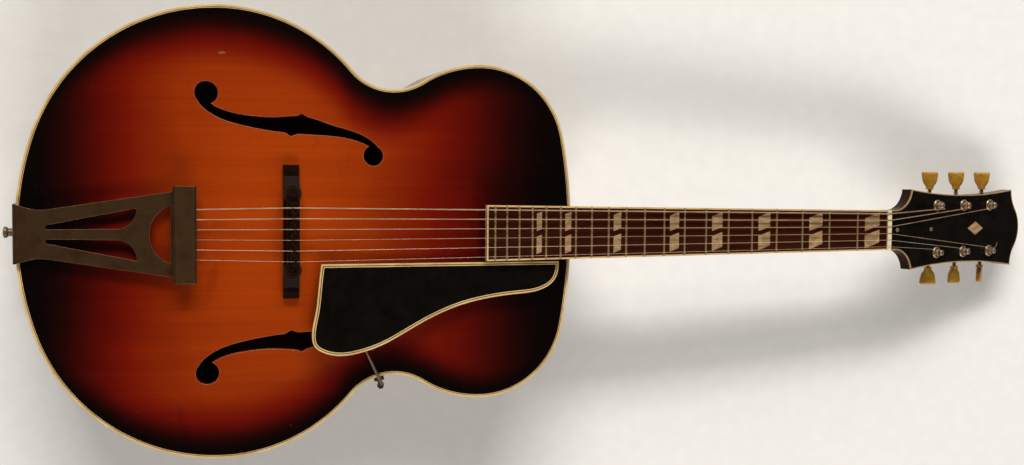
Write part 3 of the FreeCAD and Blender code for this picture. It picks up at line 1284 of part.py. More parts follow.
def button_shape():
    """A tulip-shaped button along z with its collar, bored for the shaft."""
    start = size("button_start")
    collar_length = 2.6
    root = start + 0.8 * collar_length
    length = start + size("button_length") - root
    half = size("button_width") / 2
    thick = size("button_thickness") / 2
    corner = 0.62
    sections = []
    for along, wide, deep in ((0, 0.46, 0.94), (0.10, 0.52, 1.0), (0.26, 0.74, 1.0), (0.48, 0.89, 1.0),
                              (0.82, 1.0, 0.96), (0.95, 0.97, 0.8), (1.0, 0.86, 0.5)):
        points = []
        for i in range(16):
            across = math.cos(math.pi * i / 8)
            out = math.sin(math.pi * i / 8)
            points.append(Vector(half * wide * math.copysign(abs(across) ** corner, across),
                                 thick * deep * math.copysign(abs(out) ** corner, out), root + length * along))
        ring = Part.BSplineCurve()
        ring.interpolate(points, PeriodicFlag=True)
        sections.append(Part.Wire(ring.toShape()))
    leaf = Part.makeLoft(sections, True, False)
    collar = Part.makeCylinder(size("button_collar_radius"), collar_length, Vector(0, 0, start))
    bore = Part.makeCylinder(size("shaft_radius") + seat, 6.2, Vector(0, 0, start - 0.1))
    return leaf.fuse(collar).cut(bore)


def housing_shape(side):
    """A stamped cover over gear and worm, with two screw tabs, on the back of the headstock."""
    low, high = housing_ends()
    wall = size("housing_wall")
    half = gear_tip + clear + wall
    depth = size("worm_depth") + worm_tip + clear + wall
    back = -size("head_thickness")
    shell = Part.makeBox(high - low, 2 * half, depth, Vector(low, -half, back - depth))
    corners = [edge for edge in shell.Edges if edge.BoundBox.ZLength > depth / 2
               or edge.BoundBox.ZMax < back - depth + 0.01]
    shell = shell.makeFillet(1.6, corners)
    hollow = Part.makeBox(high - low - 2 * wall, 2 * half - 2 * wall, depth - wall,
                          Vector(low + wall, -half + wall, back - depth + wall))
    hollow = hollow.makeFillet(0.7, [edge for edge in hollow.Edges if edge.BoundBox.ZLength > depth / 2
                                     or edge.BoundBox.ZMax < back - depth + wall + 0.01])
    tabs = [Part.makeBox(size("tab_length") + wall, size("tab_width"), wall,
                         Vector(start, -size("tab_width") / 2, back - wall))
            for start in (low - size("tab_length"), high - wall)]
    door = Part.makeCylinder(size("shaft_radius") + running, 2 * half, Vector(worm_away, 0, gear_level),
                             Vector(0, side, 0))
    return shell.fuse(tabs).cut([hollow, door])


bushing = turned("bushing", [
    ("post_radius + running", "-head_thickness + 3"), ("bushing_radius", "-head_thickness + 3"),
    ("bushing_radius", "0"), ("bushing_flange", "0"), ("bushing_flange", "0.8"),
    ("bushing_flange - 0.8", "1.6"), ("post_radius + running", "1.6")])
doc.recompute()
post_master = post_shape()
worm_master = worm_shape()
button_master = button_shape()
to_out = {1: Rotation(Vector(1, 0, 0), -90), -1: Rotation(Vector(1, 0, 0), 90)}
housings = []
bushings = []
for number, centre in TUNERS.items():
    side = 1 if centre.y > 0 else -1
    here = Placement(centre, Rotation())
    housing = moved(housing_shape(side), here)
    housings.append(housing.cut(head_screw_holes))
    bushings.append(moved(bushing.Shape, here))
    keep(shaped("string_post_%d" % number, post_master), "string_post_%d" % number, head_place.multiply(here))
    worm_spot = Placement(centre + Vector(worm_away, 0, gear_level), to_out[side])
    keep(shaped("worm_shaft_%d" % number, worm_master), "worm_shaft_%d" % number,
         head_place.multiply(worm_spot))
    turn = Placement(Vector(), Rotation(Vector(0, 0, 1), BUTTON_ANGLES[number]))
    keep(shaped("tuner_button_%d" % number, button_master), "tuner_button_%d" % number,
         head_place.multiply(worm_spot).multiply(turn))
keep(shaped("tuner_housings", Part.makeCompound(housings)), "tuner_housings", head_place)
keep(shaped("tuner_bushings", Part.makeCompound(bushings)), "tuner_bushings", head_place)

# Place every piece in the guitar's own frame: origin under the middle of its box, resting plane at zero
doc.recompute()
os.makedirs("parts", exist_ok=True)
failed = [made.Name for made in doc.Objects if "Invalid" in made.State or "Error" in made.State]
if failed:
    raise RuntimeError("objects that failed: %s" % failed)
finished = {}
for made, label, placement in nodes.values():
    shape = moved(made.Shape, placement)
    if shape.isNull() or not shape.isValid() or not shape.Solids:
        raise RuntimeError("bad shape: %s" % label)
    finished[label] = shape
for label, shape in finished.items():
    made = nodes[label][0]
    made.Label = label
    made.Placement = nodes[label][2].multiply(made.Placement)
    shape.exportStep("parts/%s.step" % label)
print("%d nodes" % len(finished))
for name, frame in (("body", body_place), ("neck", neck_place), ("head", head_place)):
    base = frame.Base
    print("%s frame at %.4f %.4f %.4f" % (name, base.x, base.y, base.z))
for number, centre in TUNERS.items():
    post = head_place.multVec(centre)
    worm = head_place.multVec(centre + Vector(worm_away, 0, gear_level))
    print("tuner %d post %.4f %.4f %.4f worm %.4f %.4f %.4f" % (
        number, post.x, post.y, post.z, worm.x, worm.y, worm.z))
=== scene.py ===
import json
import math

import bpy
from mathutils import Matrix, Quaternion, Vector


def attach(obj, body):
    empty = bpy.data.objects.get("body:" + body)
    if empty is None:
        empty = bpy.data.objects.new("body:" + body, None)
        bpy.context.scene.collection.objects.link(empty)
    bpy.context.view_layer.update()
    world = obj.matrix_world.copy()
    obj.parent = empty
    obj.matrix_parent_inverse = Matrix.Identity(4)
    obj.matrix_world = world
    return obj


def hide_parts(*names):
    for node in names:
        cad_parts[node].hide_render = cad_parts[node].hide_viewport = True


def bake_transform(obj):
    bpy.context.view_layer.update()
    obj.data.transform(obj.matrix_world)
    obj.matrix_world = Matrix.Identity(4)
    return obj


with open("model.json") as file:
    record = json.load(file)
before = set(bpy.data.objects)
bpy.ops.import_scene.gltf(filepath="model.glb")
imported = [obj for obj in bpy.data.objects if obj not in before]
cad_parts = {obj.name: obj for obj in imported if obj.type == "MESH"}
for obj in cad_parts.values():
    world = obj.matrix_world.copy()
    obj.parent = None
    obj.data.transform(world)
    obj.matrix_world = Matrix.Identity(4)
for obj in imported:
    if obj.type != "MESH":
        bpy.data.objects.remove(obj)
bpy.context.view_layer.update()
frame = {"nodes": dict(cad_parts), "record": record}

nodes = frame["nodes"]
scene = bpy.context.scene

# Frames of body, neck and headstock, in metres: the body's tail end, the nut and the headstock's root
MM = 0.001
TAIL_X = -0.5427668
RIM_TOP = 0.102
NECK_PLACE = (0.3490911, 0, 0.0965965)
NECK_PITCH = math.radians(3.64)
HEAD_PLACE = (0.3539540, 0, 0.0942831)
HEAD_PITCH = math.radians(17.64)
BODY = Matrix.Translation((TAIL_X, 0, RIM_TOP))
NECK = Matrix.Translation(NECK_PLACE) @ Matrix.Rotation(NECK_PITCH, 4, "Y")
HEAD = Matrix.Translation(HEAD_PLACE) @ Matrix.Rotation(HEAD_PITCH, 4, "Y")

# Camera fitted to the photograph: place in metres, turn, lens in millimetres, share of picture shifted
CAMERA_PLACE = (-0.4321811, 0.062109, 1.477970)
CAMERA_TURN = (0.9913625, -0.028719, -0.1279674, -0.0001384)
CAMERA_LENS = 49.99
CAMERA_SHIFT = 0.01816
camera = bpy.data.objects.new("camera", bpy.data.cameras.new("camera"))
scene.collection.objects.link(camera)
camera.location = CAMERA_PLACE
camera.rotation_mode = "QUATERNION"
camera.rotation_quaternion = Quaternion(CAMERA_TURN)
camera.data.sensor_width = 36
camera.data.lens = CAMERA_LENS
camera.data.shift_y = CAMERA_SHIFT
camera.data.clip_end = 50
scene.camera = camera


class Look:
    """A material built from nodes, with short names for the ones used here."""

    def __init__(self, name):
        self.material = bpy.data.materials.new(name)
        self.material.use_nodes = True
        self.tree = self.material.node_tree
        self.shader = self.tree.nodes["Principled BSDF"]
        self.place = self.add("ShaderNodeTexCoord").outputs["Object"]

    def add(self, kind, **settings):
        node = self.tree.nodes.new(kind)
        for key, value in settings.items():
            setattr(node, key, value)
        return node

    def wire(self, value, socket):
        if isinstance(value, bpy.types.NodeSocket):
            self.tree.links.new(value, socket)
        else:
            socket.default_value = value

    def math(self, operation, *values):
        node = self.add("ShaderNodeMath", operation=operation)
        for socket, value in zip(node.inputs, values):
            self.wire(value, socket)
        return node.outputs[0]

    def axes(self):
        node = self.add("ShaderNodeSeparateXYZ")
        self.wire(self.place, node.inputs[0])
        return node.outputs

    def scaled(self, scale, turn=(0, 0, 0)):
        node = self.add("ShaderNodeMapping")
        self.wire(self.place, node.inputs["Vector"])
        node.inputs["Scale"].default_value = scale
        node.inputs["Rotation"].default_value = turn
        return node.outputs[0]

    def noise(self, scale, detail=4.0, rough=0.5, warp=0.0, turn=(0, 0, 0)):
        node = self.add("ShaderNodeTexNoise")
        self.wire(self.scaled(scale, turn), node.inputs["Vector"])
        node.inputs["Scale"].default_value = 1.0
        node.inputs["Detail"].default_value = detail
        node.inputs["Roughness"].default_value = rough
        node.inputs["Distortion"].default_value = warp
        return node.outputs["Fac"]

    def span(self, value, low, high, start=0.0, end=1.0):
        node = self.add("ShaderNodeMapRange", interpolation_type="SMOOTHSTEP")
        for socket, number in zip(node.inputs, (value, low, high, start, end)):
            self.wire(number, socket)
        return node.outputs[0]

    def ramp(self, fac, stops):
        node = self.add("ShaderNodeValToRGB")
        self.wire(fac, node.inputs[0])
        elements = node.color_ramp.elements
        while len(elements) < len(stops):
            elements.new(1.0)
        for element, (place, color) in zip(elements, stops):
            element.position = place
            element.color = (*color, 1)
        return node.outputs[0]

    def mix(self, fac, one, two, blend="MIX"):
        node = self.add("ShaderNodeMix", data_type="RGBA", blend_type=blend)
        self.wire(fac, node.inputs[0])
        for socket, value in ((node.inputs[6], one), (node.inputs[7], two)):
            self.wire((*value, 1) if isinstance(value, tuple) else value, socket)
        return node.outputs[2]

    def rounded(self, radius):
        node = self.add("ShaderNodeBevel", samples=4)
        node.inputs["Radius"].default_value = radius
        return node.outputs[0]

    def edge_wear_and_highlight(self, radius):
        """1 along sharp edges, 0 elsewhere: where edge wear and painted edge highlights go."""
        node = self.add("ShaderNodeVectorMath", operation="DOT_PRODUCT")
        self.wire(self.rounded(radius), node.inputs[0])
        self.wire(self.add("ShaderNodeNewGeometry").outputs["Normal"], node.inputs[1])
        return self.span(node.outputs["Value"], 0.995, 0.85)

    def bump(self, height, strength, distance, radius=0.0004):
        """Surface relief over edges rounded by a radius."""
        node = self.add("ShaderNodeBump")
        node.inputs["Strength"].default_value = strength
        node.inputs["Distance"].default_value = distance
        self.wire(height, node.inputs["Height"])
        self.wire(self.rounded(radius), node.inputs["Normal"])
        self.wire(node.outputs[0], self.shader.inputs["Normal"])

    def set(self, **inputs):
        for key, value in inputs.items():
            socket = self.shader.inputs[key.replace("_", " ")]
            self.wire((*value, 1) if isinstance(value, tuple) and len(value) == 3 else value, socket)
        return self.material


# Half widths of the body along its length, millimetres from the tail
HALF_WIDTHS = [(0, 20), (10, 82), (30, 128), (70, 173), (130, 207), (186, 216), (250, 203), (290, 180),
               (320, 152), (351, 140), (380, 147), (410, 160), (440, 166), (470, 160), (500, 140), (520, 111),
               (533.4, 40)]
LENGTH = 533.4

# Half width at the upper end of the curve node that holds them
CURVE_TOP = 250

# Depth of the dark edge at the sides, tail and neck, and the bright middle's place and reach, millimetres
SIDE_FADE = 60.0
TAIL_FADE = 152.0
NECK_FADE = 215.0
GLOW_AT = 250.0
GLOW_LENGTH = 200.0
GLOW_WIDTH = 180.0
GLOW_SHARE = 0.26


def burst(look):
    """How far a point lies from the dark edge: 0 at the rim, 1 in the bright middle."""
    x, y = look.axes()[:2]
    tail = look.math("MULTIPLY_ADD", x, 1 / MM, -TAIL_X / MM)
    curve = look.add("ShaderNodeFloatCurve")
    points = curve.mapping.curves[0].points
    while len(points) < len(HALF_WIDTHS):
        points.new(0.5, 0.5)
    for point, (at, half) in zip(points, HALF_WIDTHS):
        point.location = (at / LENGTH, half / CURVE_TOP)
    curve.mapping.update()
    look.wire(look.math("DIVIDE", tail, LENGTH), curve.inputs["Value"])
    half = look.math("MULTIPLY", curve.outputs[0], CURVE_TOP)
    across = look.math("MULTIPLY", look.math("ABSOLUTE", y), 1 / MM)
    side = look.math("DIVIDE", look.math("SUBTRACT", half, across), SIDE_FADE)
    behind = look.math("DIVIDE", tail, TAIL_FADE)
    ahead = look.math("DIVIDE", look.math("SUBTRACT", LENGTH, tail), NECK_FADE)
    cloud = look.span(look.noise((9, 11, 9), 3.0), 0.2, 0.8, 0.92, 1.08)
    near = look.math("SMOOTH_MIN", side, look.math("SMOOTH_MIN", behind, ahead, 0.3), 0.35)
    near = look.math("MULTIPLY", near, cloud)
    off_x = look.math("DIVIDE", look.math("SUBTRACT", tail, GLOW_AT), GLOW_LENGTH)
    off_y = look.math("DIVIDE", across, GLOW_WIDTH)
    far = look.math("SQRT", look.math("MULTIPLY_ADD", off_x, off_x, look.math("MULTIPLY", off_y, off_y)))
    glow = look.math("MULTIPLY", look.span(far, 0.1, 1.2, 1.0, 0.0), look.span(near, 0.75, 1.35))
    low = look.math("MULTIPLY", look.math("MINIMUM", look.math("MAXIMUM", near, 0.0), 1.0), 1 - GLOW_SHARE)
    return look.math("MULTIPLY_ADD", glow, GLOW_SHARE, low)


# A chip in the lacquer between the bass sound hole and the rim: middle and half sizes, metres
CHIP = (-0.3554, 0.1707)
CHIP_SIZE = (0.005, 0.0019)


def spruce():
    look = Look("spruce_sunburst")
    shade = burst(look)
    color = look.ramp(shade, [(0.0, (0.0012, 0.0004, 0.0003)), (0.11, (0.0026, 0.0005, 0.0003)),
                              (0.163, (0.0065, 0.0006, 0.0003)), (0.222, (0.015, 0.0008, 0.0003)),
                              (0.296, (0.040, 0.0013, 0.0004)), (0.385, (0.088, 0.0024, 0.0005)),
                              (0.50, (0.142, 0.0056, 0.0006)), (0.58, (0.176, 0.0115, 0.0007)),
                              (0.74, (0.238, 0.0235, 0.0010)), (1.0, (0.340, 0.042, 0.0016))])
    grain = look.noise((3, 900, 20), 3.0, 0.6, 0.1)
    broad = look.noise((2.2, 130, 6), 2.0, 0.5, 0.2)
    streak = look.math("MULTIPLY_ADD", grain, 0.4, look.math("MULTIPLY", broad, 0.3))
    tint = look.ramp(streak, [(0.22, (0.80, 0.72, 0.66)), (0.48, (1.05, 1.08, 1.1))])
    color = look.mix(1.0, color, tint, "MULTIPLY")
    smudge = look.noise((34, 16, 30), 3.0, 0.6, 0.8)
    dim = look.mix(1.0, color, (0.5, 0.4, 0.4), "MULTIPLY")
    color = look.mix(look.span(smudge, 0.60, 0.78, 0.0, 0.35), color, dim)
    nick = look.noise((420, 210, 300), 2.0, 0.5, 0.6, turn=(0, 0, 0.7))
    color = look.mix(look.span(nick, 0.775, 0.80, 0.0, 0.55), color, (0.09, 0.06, 0.045))
    x, y = look.axes()[:2]
    chip_x = look.math("DIVIDE", look.math("SUBTRACT", x, CHIP[0]), CHIP_SIZE[0])
    chip_y = look.math("DIVIDE", look.math("SUBTRACT", y, CHIP[1]), CHIP_SIZE[1])
    chip = look.math("MULTIPLY_ADD", chip_x, chip_x, look.math("MULTIPLY", chip_y, chip_y))
    chip = look.math("MULTIPLY_ADD", look.noise((500, 500, 500), 3.0), 1.4, chip)
    color = look.mix(look.span(chip, 1.35, 0.9, 0.0, 0.7), color, (0.21, 0.095, 0.05))
    # Painted highlight along the top's sharp edges, f-hole lips and rim: a pale brown that is partly wear to
    # the bare wood and partly light caught on the rounded lips.
    color = look.mix(look.edge_wear_and_highlight(0.0009), color, (0.40, 0.20, 0.11))
    haze = look.noise((70, 300, 70), 5.0, 0.6)
    look.bump(streak, 0.05, 0.0004, 0.0008)
    return look.set(Base_Color=color, Roughness=look.span(haze, 0.3, 0.75, 0.16, 0.25), Coat_Weight=0.1,
                    Coat_Roughness=0.08, Specular_IOR_Level=0.25)


# Middle and half height of the shaded band on the body's sides, metres
BAND_AT = 0.057
BAND_HALF = 0.046


def band(look):
    """How far a point lies from the edges of the body's sides: 0 at the bindings, 1 halfway up."""
    z = look.axes()[2]
    off = look.math("DIVIDE", look.math("ABSOLUTE", look.math("SUBTRACT", z, BAND_AT)), BAND_HALF)
    return look.span(off, 0.95, 0.1)


def maple(name, middle, dark, shading, flame):
    """Flamed wood, mirrored about the middle, with its dark edge given by a shading function."""
    look = Look(name)
    shade = shading(look)
    x, y, z = look.axes()
    half = look.math("ABSOLUTE", y)
    halves = look.add("ShaderNodeCombineXYZ")
    for value, socket in zip((look.math("MULTIPLY_ADD", half, 0.28, x), half, z), halves.inputs):
        look.wire(value, socket)
    look.place = halves.outputs[0]
    stripes = look.noise(flame, 3.0, 0.5, 0.4)
    fine = look.noise((30, 420, 420), 3.0)
    color = look.mix(look.span(shade, 0.12, 0.8), dark, middle)
    tiger = look.ramp(stripes, [(0.32, (0.62, 0.5, 0.45)), (0.62, (1.15, 1.15, 1.1))])
    color = look.mix(1.0, color, tiger, "MULTIPLY")
    pores = look.ramp(fine, [(0.3, (0.75, 0.72, 0.7)), (0.7, (1.05, 1.05, 1.05))])
    color = look.mix(0.5, color, pores, "MULTIPLY")
    look.bump(fine, 0.04, 0.0003)
    return look.set(Base_Color=color, Roughness=look.span(stripes, 0.2, 0.8, 0.18, 0.27), Coat_Weight=0.15,
                    Coat_Roughness=0.08, Specular_IOR_Level=0.3)


def neck_wood():
    look = Look("neck_wood")
    stripes = look.noise((18, 60, 60), 4.0, 0.55, 0.8)
    fine = look.noise((12, 500, 500), 3.0)
    color = look.ramp(stripes, [(0.25, (0.009, 0.0022, 0.0012)), (0.6, (0.024, 0.006, 0.0026)),
                                (0.85, (0.042, 0.012, 0.005))])
    pores = look.ramp(fine, [(0.3, (0.7, 0.65, 0.6)), (0.7, (1.1, 1.1, 1.1))])
    color = look.mix(0.5, color, pores, "MULTIPLY")
    look.bump(fine, 0.05, 0.0003)
    return look.set(Base_Color=color, Roughness=look.span(stripes, 0.2, 0.8, 0.18, 0.28), Coat_Weight=0.05,
                    Coat_Roughness=0.08, Specular_IOR_Level=0.22, IOR=1.25)


def bare_wood():
    look = Look("inside_wood")
    grain = look.noise((8, 260, 260), 4.0, 0.6, 0.3)
    color = look.ramp(grain, [(0.25, (0.33, 0.19, 0.09)), (0.7, (0.55, 0.38, 0.21))])
    look.bump(grain, 0.15, 0.0005)
    return look.set(Base_Color=color, Roughness=look.span(grain, 0.2, 0.8, 0.6, 0.8))


def rosewood(name, low, high, edge, shine):
    look = Look(name)
    streak = look.noise((7, 190, 60), 5.0, 0.6, 0.5)
    pores = look.noise((120, 1500, 1500), 2.0)
    color = look.ramp(streak, [(0.25, low), (0.55, high), (0.85, tuple(1.5 * part for part in high))])
    color = look.mix(look.span(pores, 0.36, 0.3), color, tuple(0.4 * part for part in low))
    # Painted highlight: the edge colour along sharp edges, partly edge wear and partly light caught on the
    # rounded edges.
    color = look.mix(look.math("MULTIPLY", look.edge_wear_and_highlight(0.0006), 0.5), color, edge)
    look.bump(look.math("ADD", pores, streak), 0.2, 0.0003)
    return look.set(Base_Color=color, Roughness=look.span(streak, 0.2, 0.8, 0.38, 0.52),
                    Specular_IOR_Level=shine)


def celluloid(name, low, high):
    look = Look(name)
    cloud = look.noise((40, 40, 40), 4.0)
    speck = look.noise((700, 700, 700), 2.0)
    color = look.ramp(cloud, [(0.25, low), (0.7, high)])
    color = look.mix(look.span(speck, 0.66, 0.75, 0.0, 0.4), color, tuple(0.55 * part for part in low))
    look.bump(cloud, 0.05, 0.0003, 0.0006)
    return look.set(Base_Color=color, Roughness=look.span(cloud, 0.2, 0.8, 0.28, 0.42), Coat_Weight=0.3)


def bone():
    look = Look("bone")
    cloud = look.noise((300, 120, 300), 4.0)
    color = look.ramp(cloud, [(0.25, (0.52, 0.41, 0.24)), (0.7, (0.70, 0.60, 0.41))])
    look.bump(cloud, 0.06, 0.0003)
    return look.set(Base_Color=color, Roughness=look.span(cloud, 0.2, 0.8, 0.3, 0.45))


def pearl():
    look = Look("pearl")
    swirl = look.noise((70, 110, 90), 3.0, 0.5, 1.2)
    fine = look.noise((240, 420, 300), 2.0, 0.5, 0.8)
    color = look.ramp(swirl, [(0.25, (0.22, 0.13, 0.055)), (0.5, (0.32, 0.20, 0.092)),
                              (0.75, (0.44, 0.30, 0.16))])
    color = look.mix(look.span(fine, 0.45, 0.75, 0.0, 0.25), color, (0.30, 0.27, 0.18))
    return look.set(Base_Color=color, Roughness=look.span(swirl, 0.2, 0.8, 0.2, 0.32), Coat_Weight=0.4,
                    Metallic=0.1)


def black(name, rough):
    look = Look(name)
    haze = look.noise((60, 60, 60), 5.0, 0.6)
    scuff = look.noise((60, 900, 60), 3.0, 0.6, turn=(0, 0, 0.6))
    color = look.ramp(haze, [(0.3, (0.0020, 0.0014, 0.0011)), (0.75, (0.0050, 0.0034, 0.0024))])
    color = look.mix(look.span(scuff, 0.70, 0.78, 0.0, 0.3), color, (0.02, 0.016, 0.013))
    look.bump(scuff, 0.02, 0.0002)
    return look.set(Base_Color=color, Roughness=look.span(haze, 0.25, 0.8, rough, rough + 0.12),
                    Coat_Weight=0.05, Specular_IOR_Level=0.2)


def metal(name, clean, aged, rough, lines=(30, 1400, 1400), strength=0.05, share=1.0, edge=None):
    look = Look(name)
    patina = look.noise((55, 55, 55), 6.0, 0.65)
    brush = look.noise(lines, 3.0, 0.6)
    color = look.mix(look.span(patina, 0.35, 0.72), clean, aged)
    # Painted highlight: sharp edges get a colour brighter than the clean metal, partly edge wear and partly
    # light caught on the rounded edges.
    bright = edge or tuple(min(1.0, 2.2 * part) for part in clean)
    color = look.mix(look.math("MULTIPLY", look.edge_wear_and_highlight(0.0006), 0.8), color, bright)
    look.bump(brush, strength, 0.0002)
    shine = look.math("MULTIPLY_ADD", brush, 0.12, look.span(patina, 0.3, 0.75, rough, rough + 0.16))
    return look.set(Base_Color=color, Metallic=share, Roughness=shine, Specular_IOR_Level=0.2)


def wound(name, clean, aged):
    look = Look(name)
    wave = look.add("ShaderNodeTexWave", wave_type="BANDS", bands_direction="X")
    look.wire(look.place, wave.inputs["Vector"])
    wave.inputs["Scale"].default_value = 620
    stain = look.noise((25, 200, 200), 4.0)
    color = look.mix(look.span(stain, 0.35, 0.7), clean, aged)
    look.bump(wave.outputs["Fac"], 0.5, 0.0001)
    return look.set(Base_Color=color, Metallic=0.55, Roughness=look.span(stain, 0.2, 0.8, 0.32, 0.46))


def amber():
    look = Look("amber_button")
    cloud = look.noise((130, 130, 130), 4.0, 0.55, 0.8)
    color = look.ramp(cloud, [(0.25, (0.27, 0.125, 0.009)), (0.6, (0.39, 0.20, 0.018)),
                              (0.85, (0.54, 0.33, 0.06))])
    look.shader.inputs["Subsurface Radius"].default_value = (0.004, 0.002, 0.0008)
    look.shader.inputs["Subsurface Scale"].default_value = 0.5
    look.bump(cloud, 0.04, 0.0004, 0.0006)
    return look.set(Base_Color=color, Roughness=look.span(cloud, 0.2, 0.8, 0.25, 0.38), Coat_Weight=0.3,
                    Subsurface_Weight=0.25)


# One look for each material slot of the record, then the looks that single nodes have instead
LOOKS = {
    "spruce_sunburst": spruce(),
    "maple_dark": maple("maple_back", (0.20, 0.030, 0.005), (0.008, 0.0022, 0.0015), burst, (105, 7, 7)),
    "inside_wood": bare_wood(),
    "cream_binding": celluloid("cream_binding", (0.46, 0.29, 0.11), (0.66, 0.46, 0.21)),
    "rosewood": rosewood("rosewood", (0.0105, 0.0019, 0.0006), (0.031, 0.0056, 0.0015),
                         (0.06, 0.014, 0.005), 0.1),
    "bone": bone(),
    "pearl": pearl(),
    "black_lacquer": black("black_lacquer", 0.2),
    "black_celluloid": black("black_celluloid", 0.14),
    "nickel": metal("nickel", (0.46, 0.34, 0.22), (0.24, 0.165, 0.095), 0.2, share=0.85),
    "fret_wire": metal("fret_wire", (0.33, 0.22, 0.105), (0.22, 0.14, 0.06), 0.3, share=0.5),
    "plain_steel": metal("plain_steel", (0.47, 0.345, 0.265), (0.33, 0.225, 0.165), 0.3, share=0.55),
    "bronze_wire": wound("bronze_wire", (0.45, 0.295, 0.18), (0.30, 0.18, 0.10)),
    "brass": metal("brass", (0.22, 0.15, 0.08), (0.09, 0.06, 0.035), 0.32),
    "rod_steel": metal("rod_steel", (0.4, 0.39, 0.37), (0.25, 0.23, 0.2), 0.35),
    "amber_button": amber(),
}
# Bridge wood: its edge colour paints highlights along the sharp edges of base and saddle, with some edge
# wear.
ebony = rosewood("bridge_wood", (0.0050, 0.0017, 0.0009), (0.0115, 0.0040, 0.0020),
                 (0.055, 0.027, 0.015), 0.05)
# Tailpiece metal: its edge colour paints the bright highlights along the edges of tailpiece and bar, with
# some edge wear.
tail_metal = metal("tailpiece_metal", (0.080, 0.041, 0.017), (0.046, 0.022, 0.0085), 0.40,
                   lines=(900, 40, 900), strength=0.06, share=0.7, edge=(0.40, 0.25, 0.15))
wheel_metal = metal("thumbwheel_metal", (0.060, 0.038, 0.022), (0.028, 0.018, 0.011), 0.36, share=0.8)
knob_metal = metal("endpin_metal", (0.20, 0.155, 0.085), (0.11, 0.08, 0.042), 0.34, share=0.6)
head_cream = celluloid("headstock_cream", (0.26, 0.145, 0.042), (0.40, 0.24, 0.085))
rod_metal = metal("bracket_metal", (0.19, 0.13, 0.10), (0.10, 0.065, 0.05), 0.36)
side_wood = maple("maple_sides", (0.11, 0.0145, 0.003), (0.0075, 0.0018, 0.0011), band, (105, 105, 4))
NODE_LOOKS = {"neck": neck_wood(), "bass_side": side_wood, "treble_side": side_wood,
              "bridge_base": ebony, "bridge_saddle": ebony, "tailpiece": tail_metal,
              "tailpiece_bar": tail_metal, "pickguard_bracket": rod_metal, "bracket_nut": rod_metal,
              "thumbwheel_bass": wheel_metal, "thumbwheel_treble": wheel_metal, "bridge_posts": wheel_metal,
              "endpin": knob_metal, "headstock_binding": head_cream}
for part in frame["record"]["subparts"]:
    made = nodes[part["node"]]
    made.data.materials.clear()
    made.data.materials.append(NODE_LOOKS.get(part["node"], LOOKS[part["material_slot"]]))


def piece(name, verts, faces, slot, body="guitar", smooth=True):
    """A mesh piece in the row frame that rides on a body."""
    mesh = bpy.data.meshes.new(name)
    mesh.from_pydata(verts, [], faces)
    mesh.update()
    if smooth:
        mesh.shade_smooth()
    made = bpy.data.objects.new(name, mesh)
    scene.collection.objects.link(made)
    made.data.materials.append(LOOKS[slot])
    if body:
        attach(made, body)
    return made


def tube_mesh(points, radius, sides=10):
    """Vertices and faces of a closed round tube along points."""
    verts = []
    faces = []
    side = None
    for i, point in enumerate(points):
        ahead = points[min(i + 1, len(points) - 1)] - points[max(i - 1, 0)]
        ahead.normalize()
        if side is None:
            side = ahead.orthogonal().normalized()
        side = (side - ahead * side.dot(ahead)).normalized()
        other = ahead.cross(side)
        for k in range(sides):
            spin = 2 * math.pi * k / sides
            verts.append(point + (side * math.cos(spin) + other * math.sin(spin)) * radius)
    for i in range(len(points) - 1):
        for k in range(sides):
            a = i * sides + k
            b = i * sides + (k + 1) % sides
            faces.append((a, b, b + sides, a + sides))
    last = (len(points) - 1) * sides
    faces.append(tuple(range(sides - 1, -1, -1)))
    faces.append(tuple(range(last, last + sides)))
    return verts, faces


# Strings from the bar over the saddle, and on over the nut to the windings: two plain, four wound
GAUGES = {1: 0.30, 2: 0.41, 3: 0.61, 4: 0.81, 5: 1.07, 6: 1.32}
PLAIN_STRINGS = (1, 2)
SADDLE_STEPS = {1: 1.6, 2: 0.6, 3: -1.2, 4: 1.0, 5: 0.0, 6: -1.2}

# Where they rest, millimetres: along the body, across from string 1 to 6, and up
BAR_AT = 141
BAR_WIDTH = 21.4
BAR_HOLE_DEPTH = 6
BAR_HOLE_HEIGHT = 28
SADDLE_AT = 250.5
CREST_HEIGHT = 40.4
NUT_MIDDLE = 2.5
NUT_REST = 1.5
SPREAD_AT_BAR = 46.5
SPREAD_AT_SADDLE = 50.5
SPREAD_AT_NUT = 35.5

# Posts and windings, millimetres in the headstock's frame
FIRST_POST = 74.2
POST_SPACING = 43.5
POST_OFFSET = 26
POST_RADIUS = 3.0
TURNS = 2.0
STEPS_PER_TURN = 28
WINDING_START = 2.8
WINDING_GAP = 0.1
TURN_GAP = 0.5

# Length and bend of the cut ends that stick out, where they are longer than a stub
LOOSE_ENDS = {2: (5.0, 0.5), 3: (10.0, 1.9)}
LOOSE_STEPS = 12
LOOSE_RISE = 0.12

# Points of a string from bar to saddle, saddle to nut and nut to post
TAIL_POINTS = 24
LENGTH_POINTS = 96
HEAD_POINTS = 12


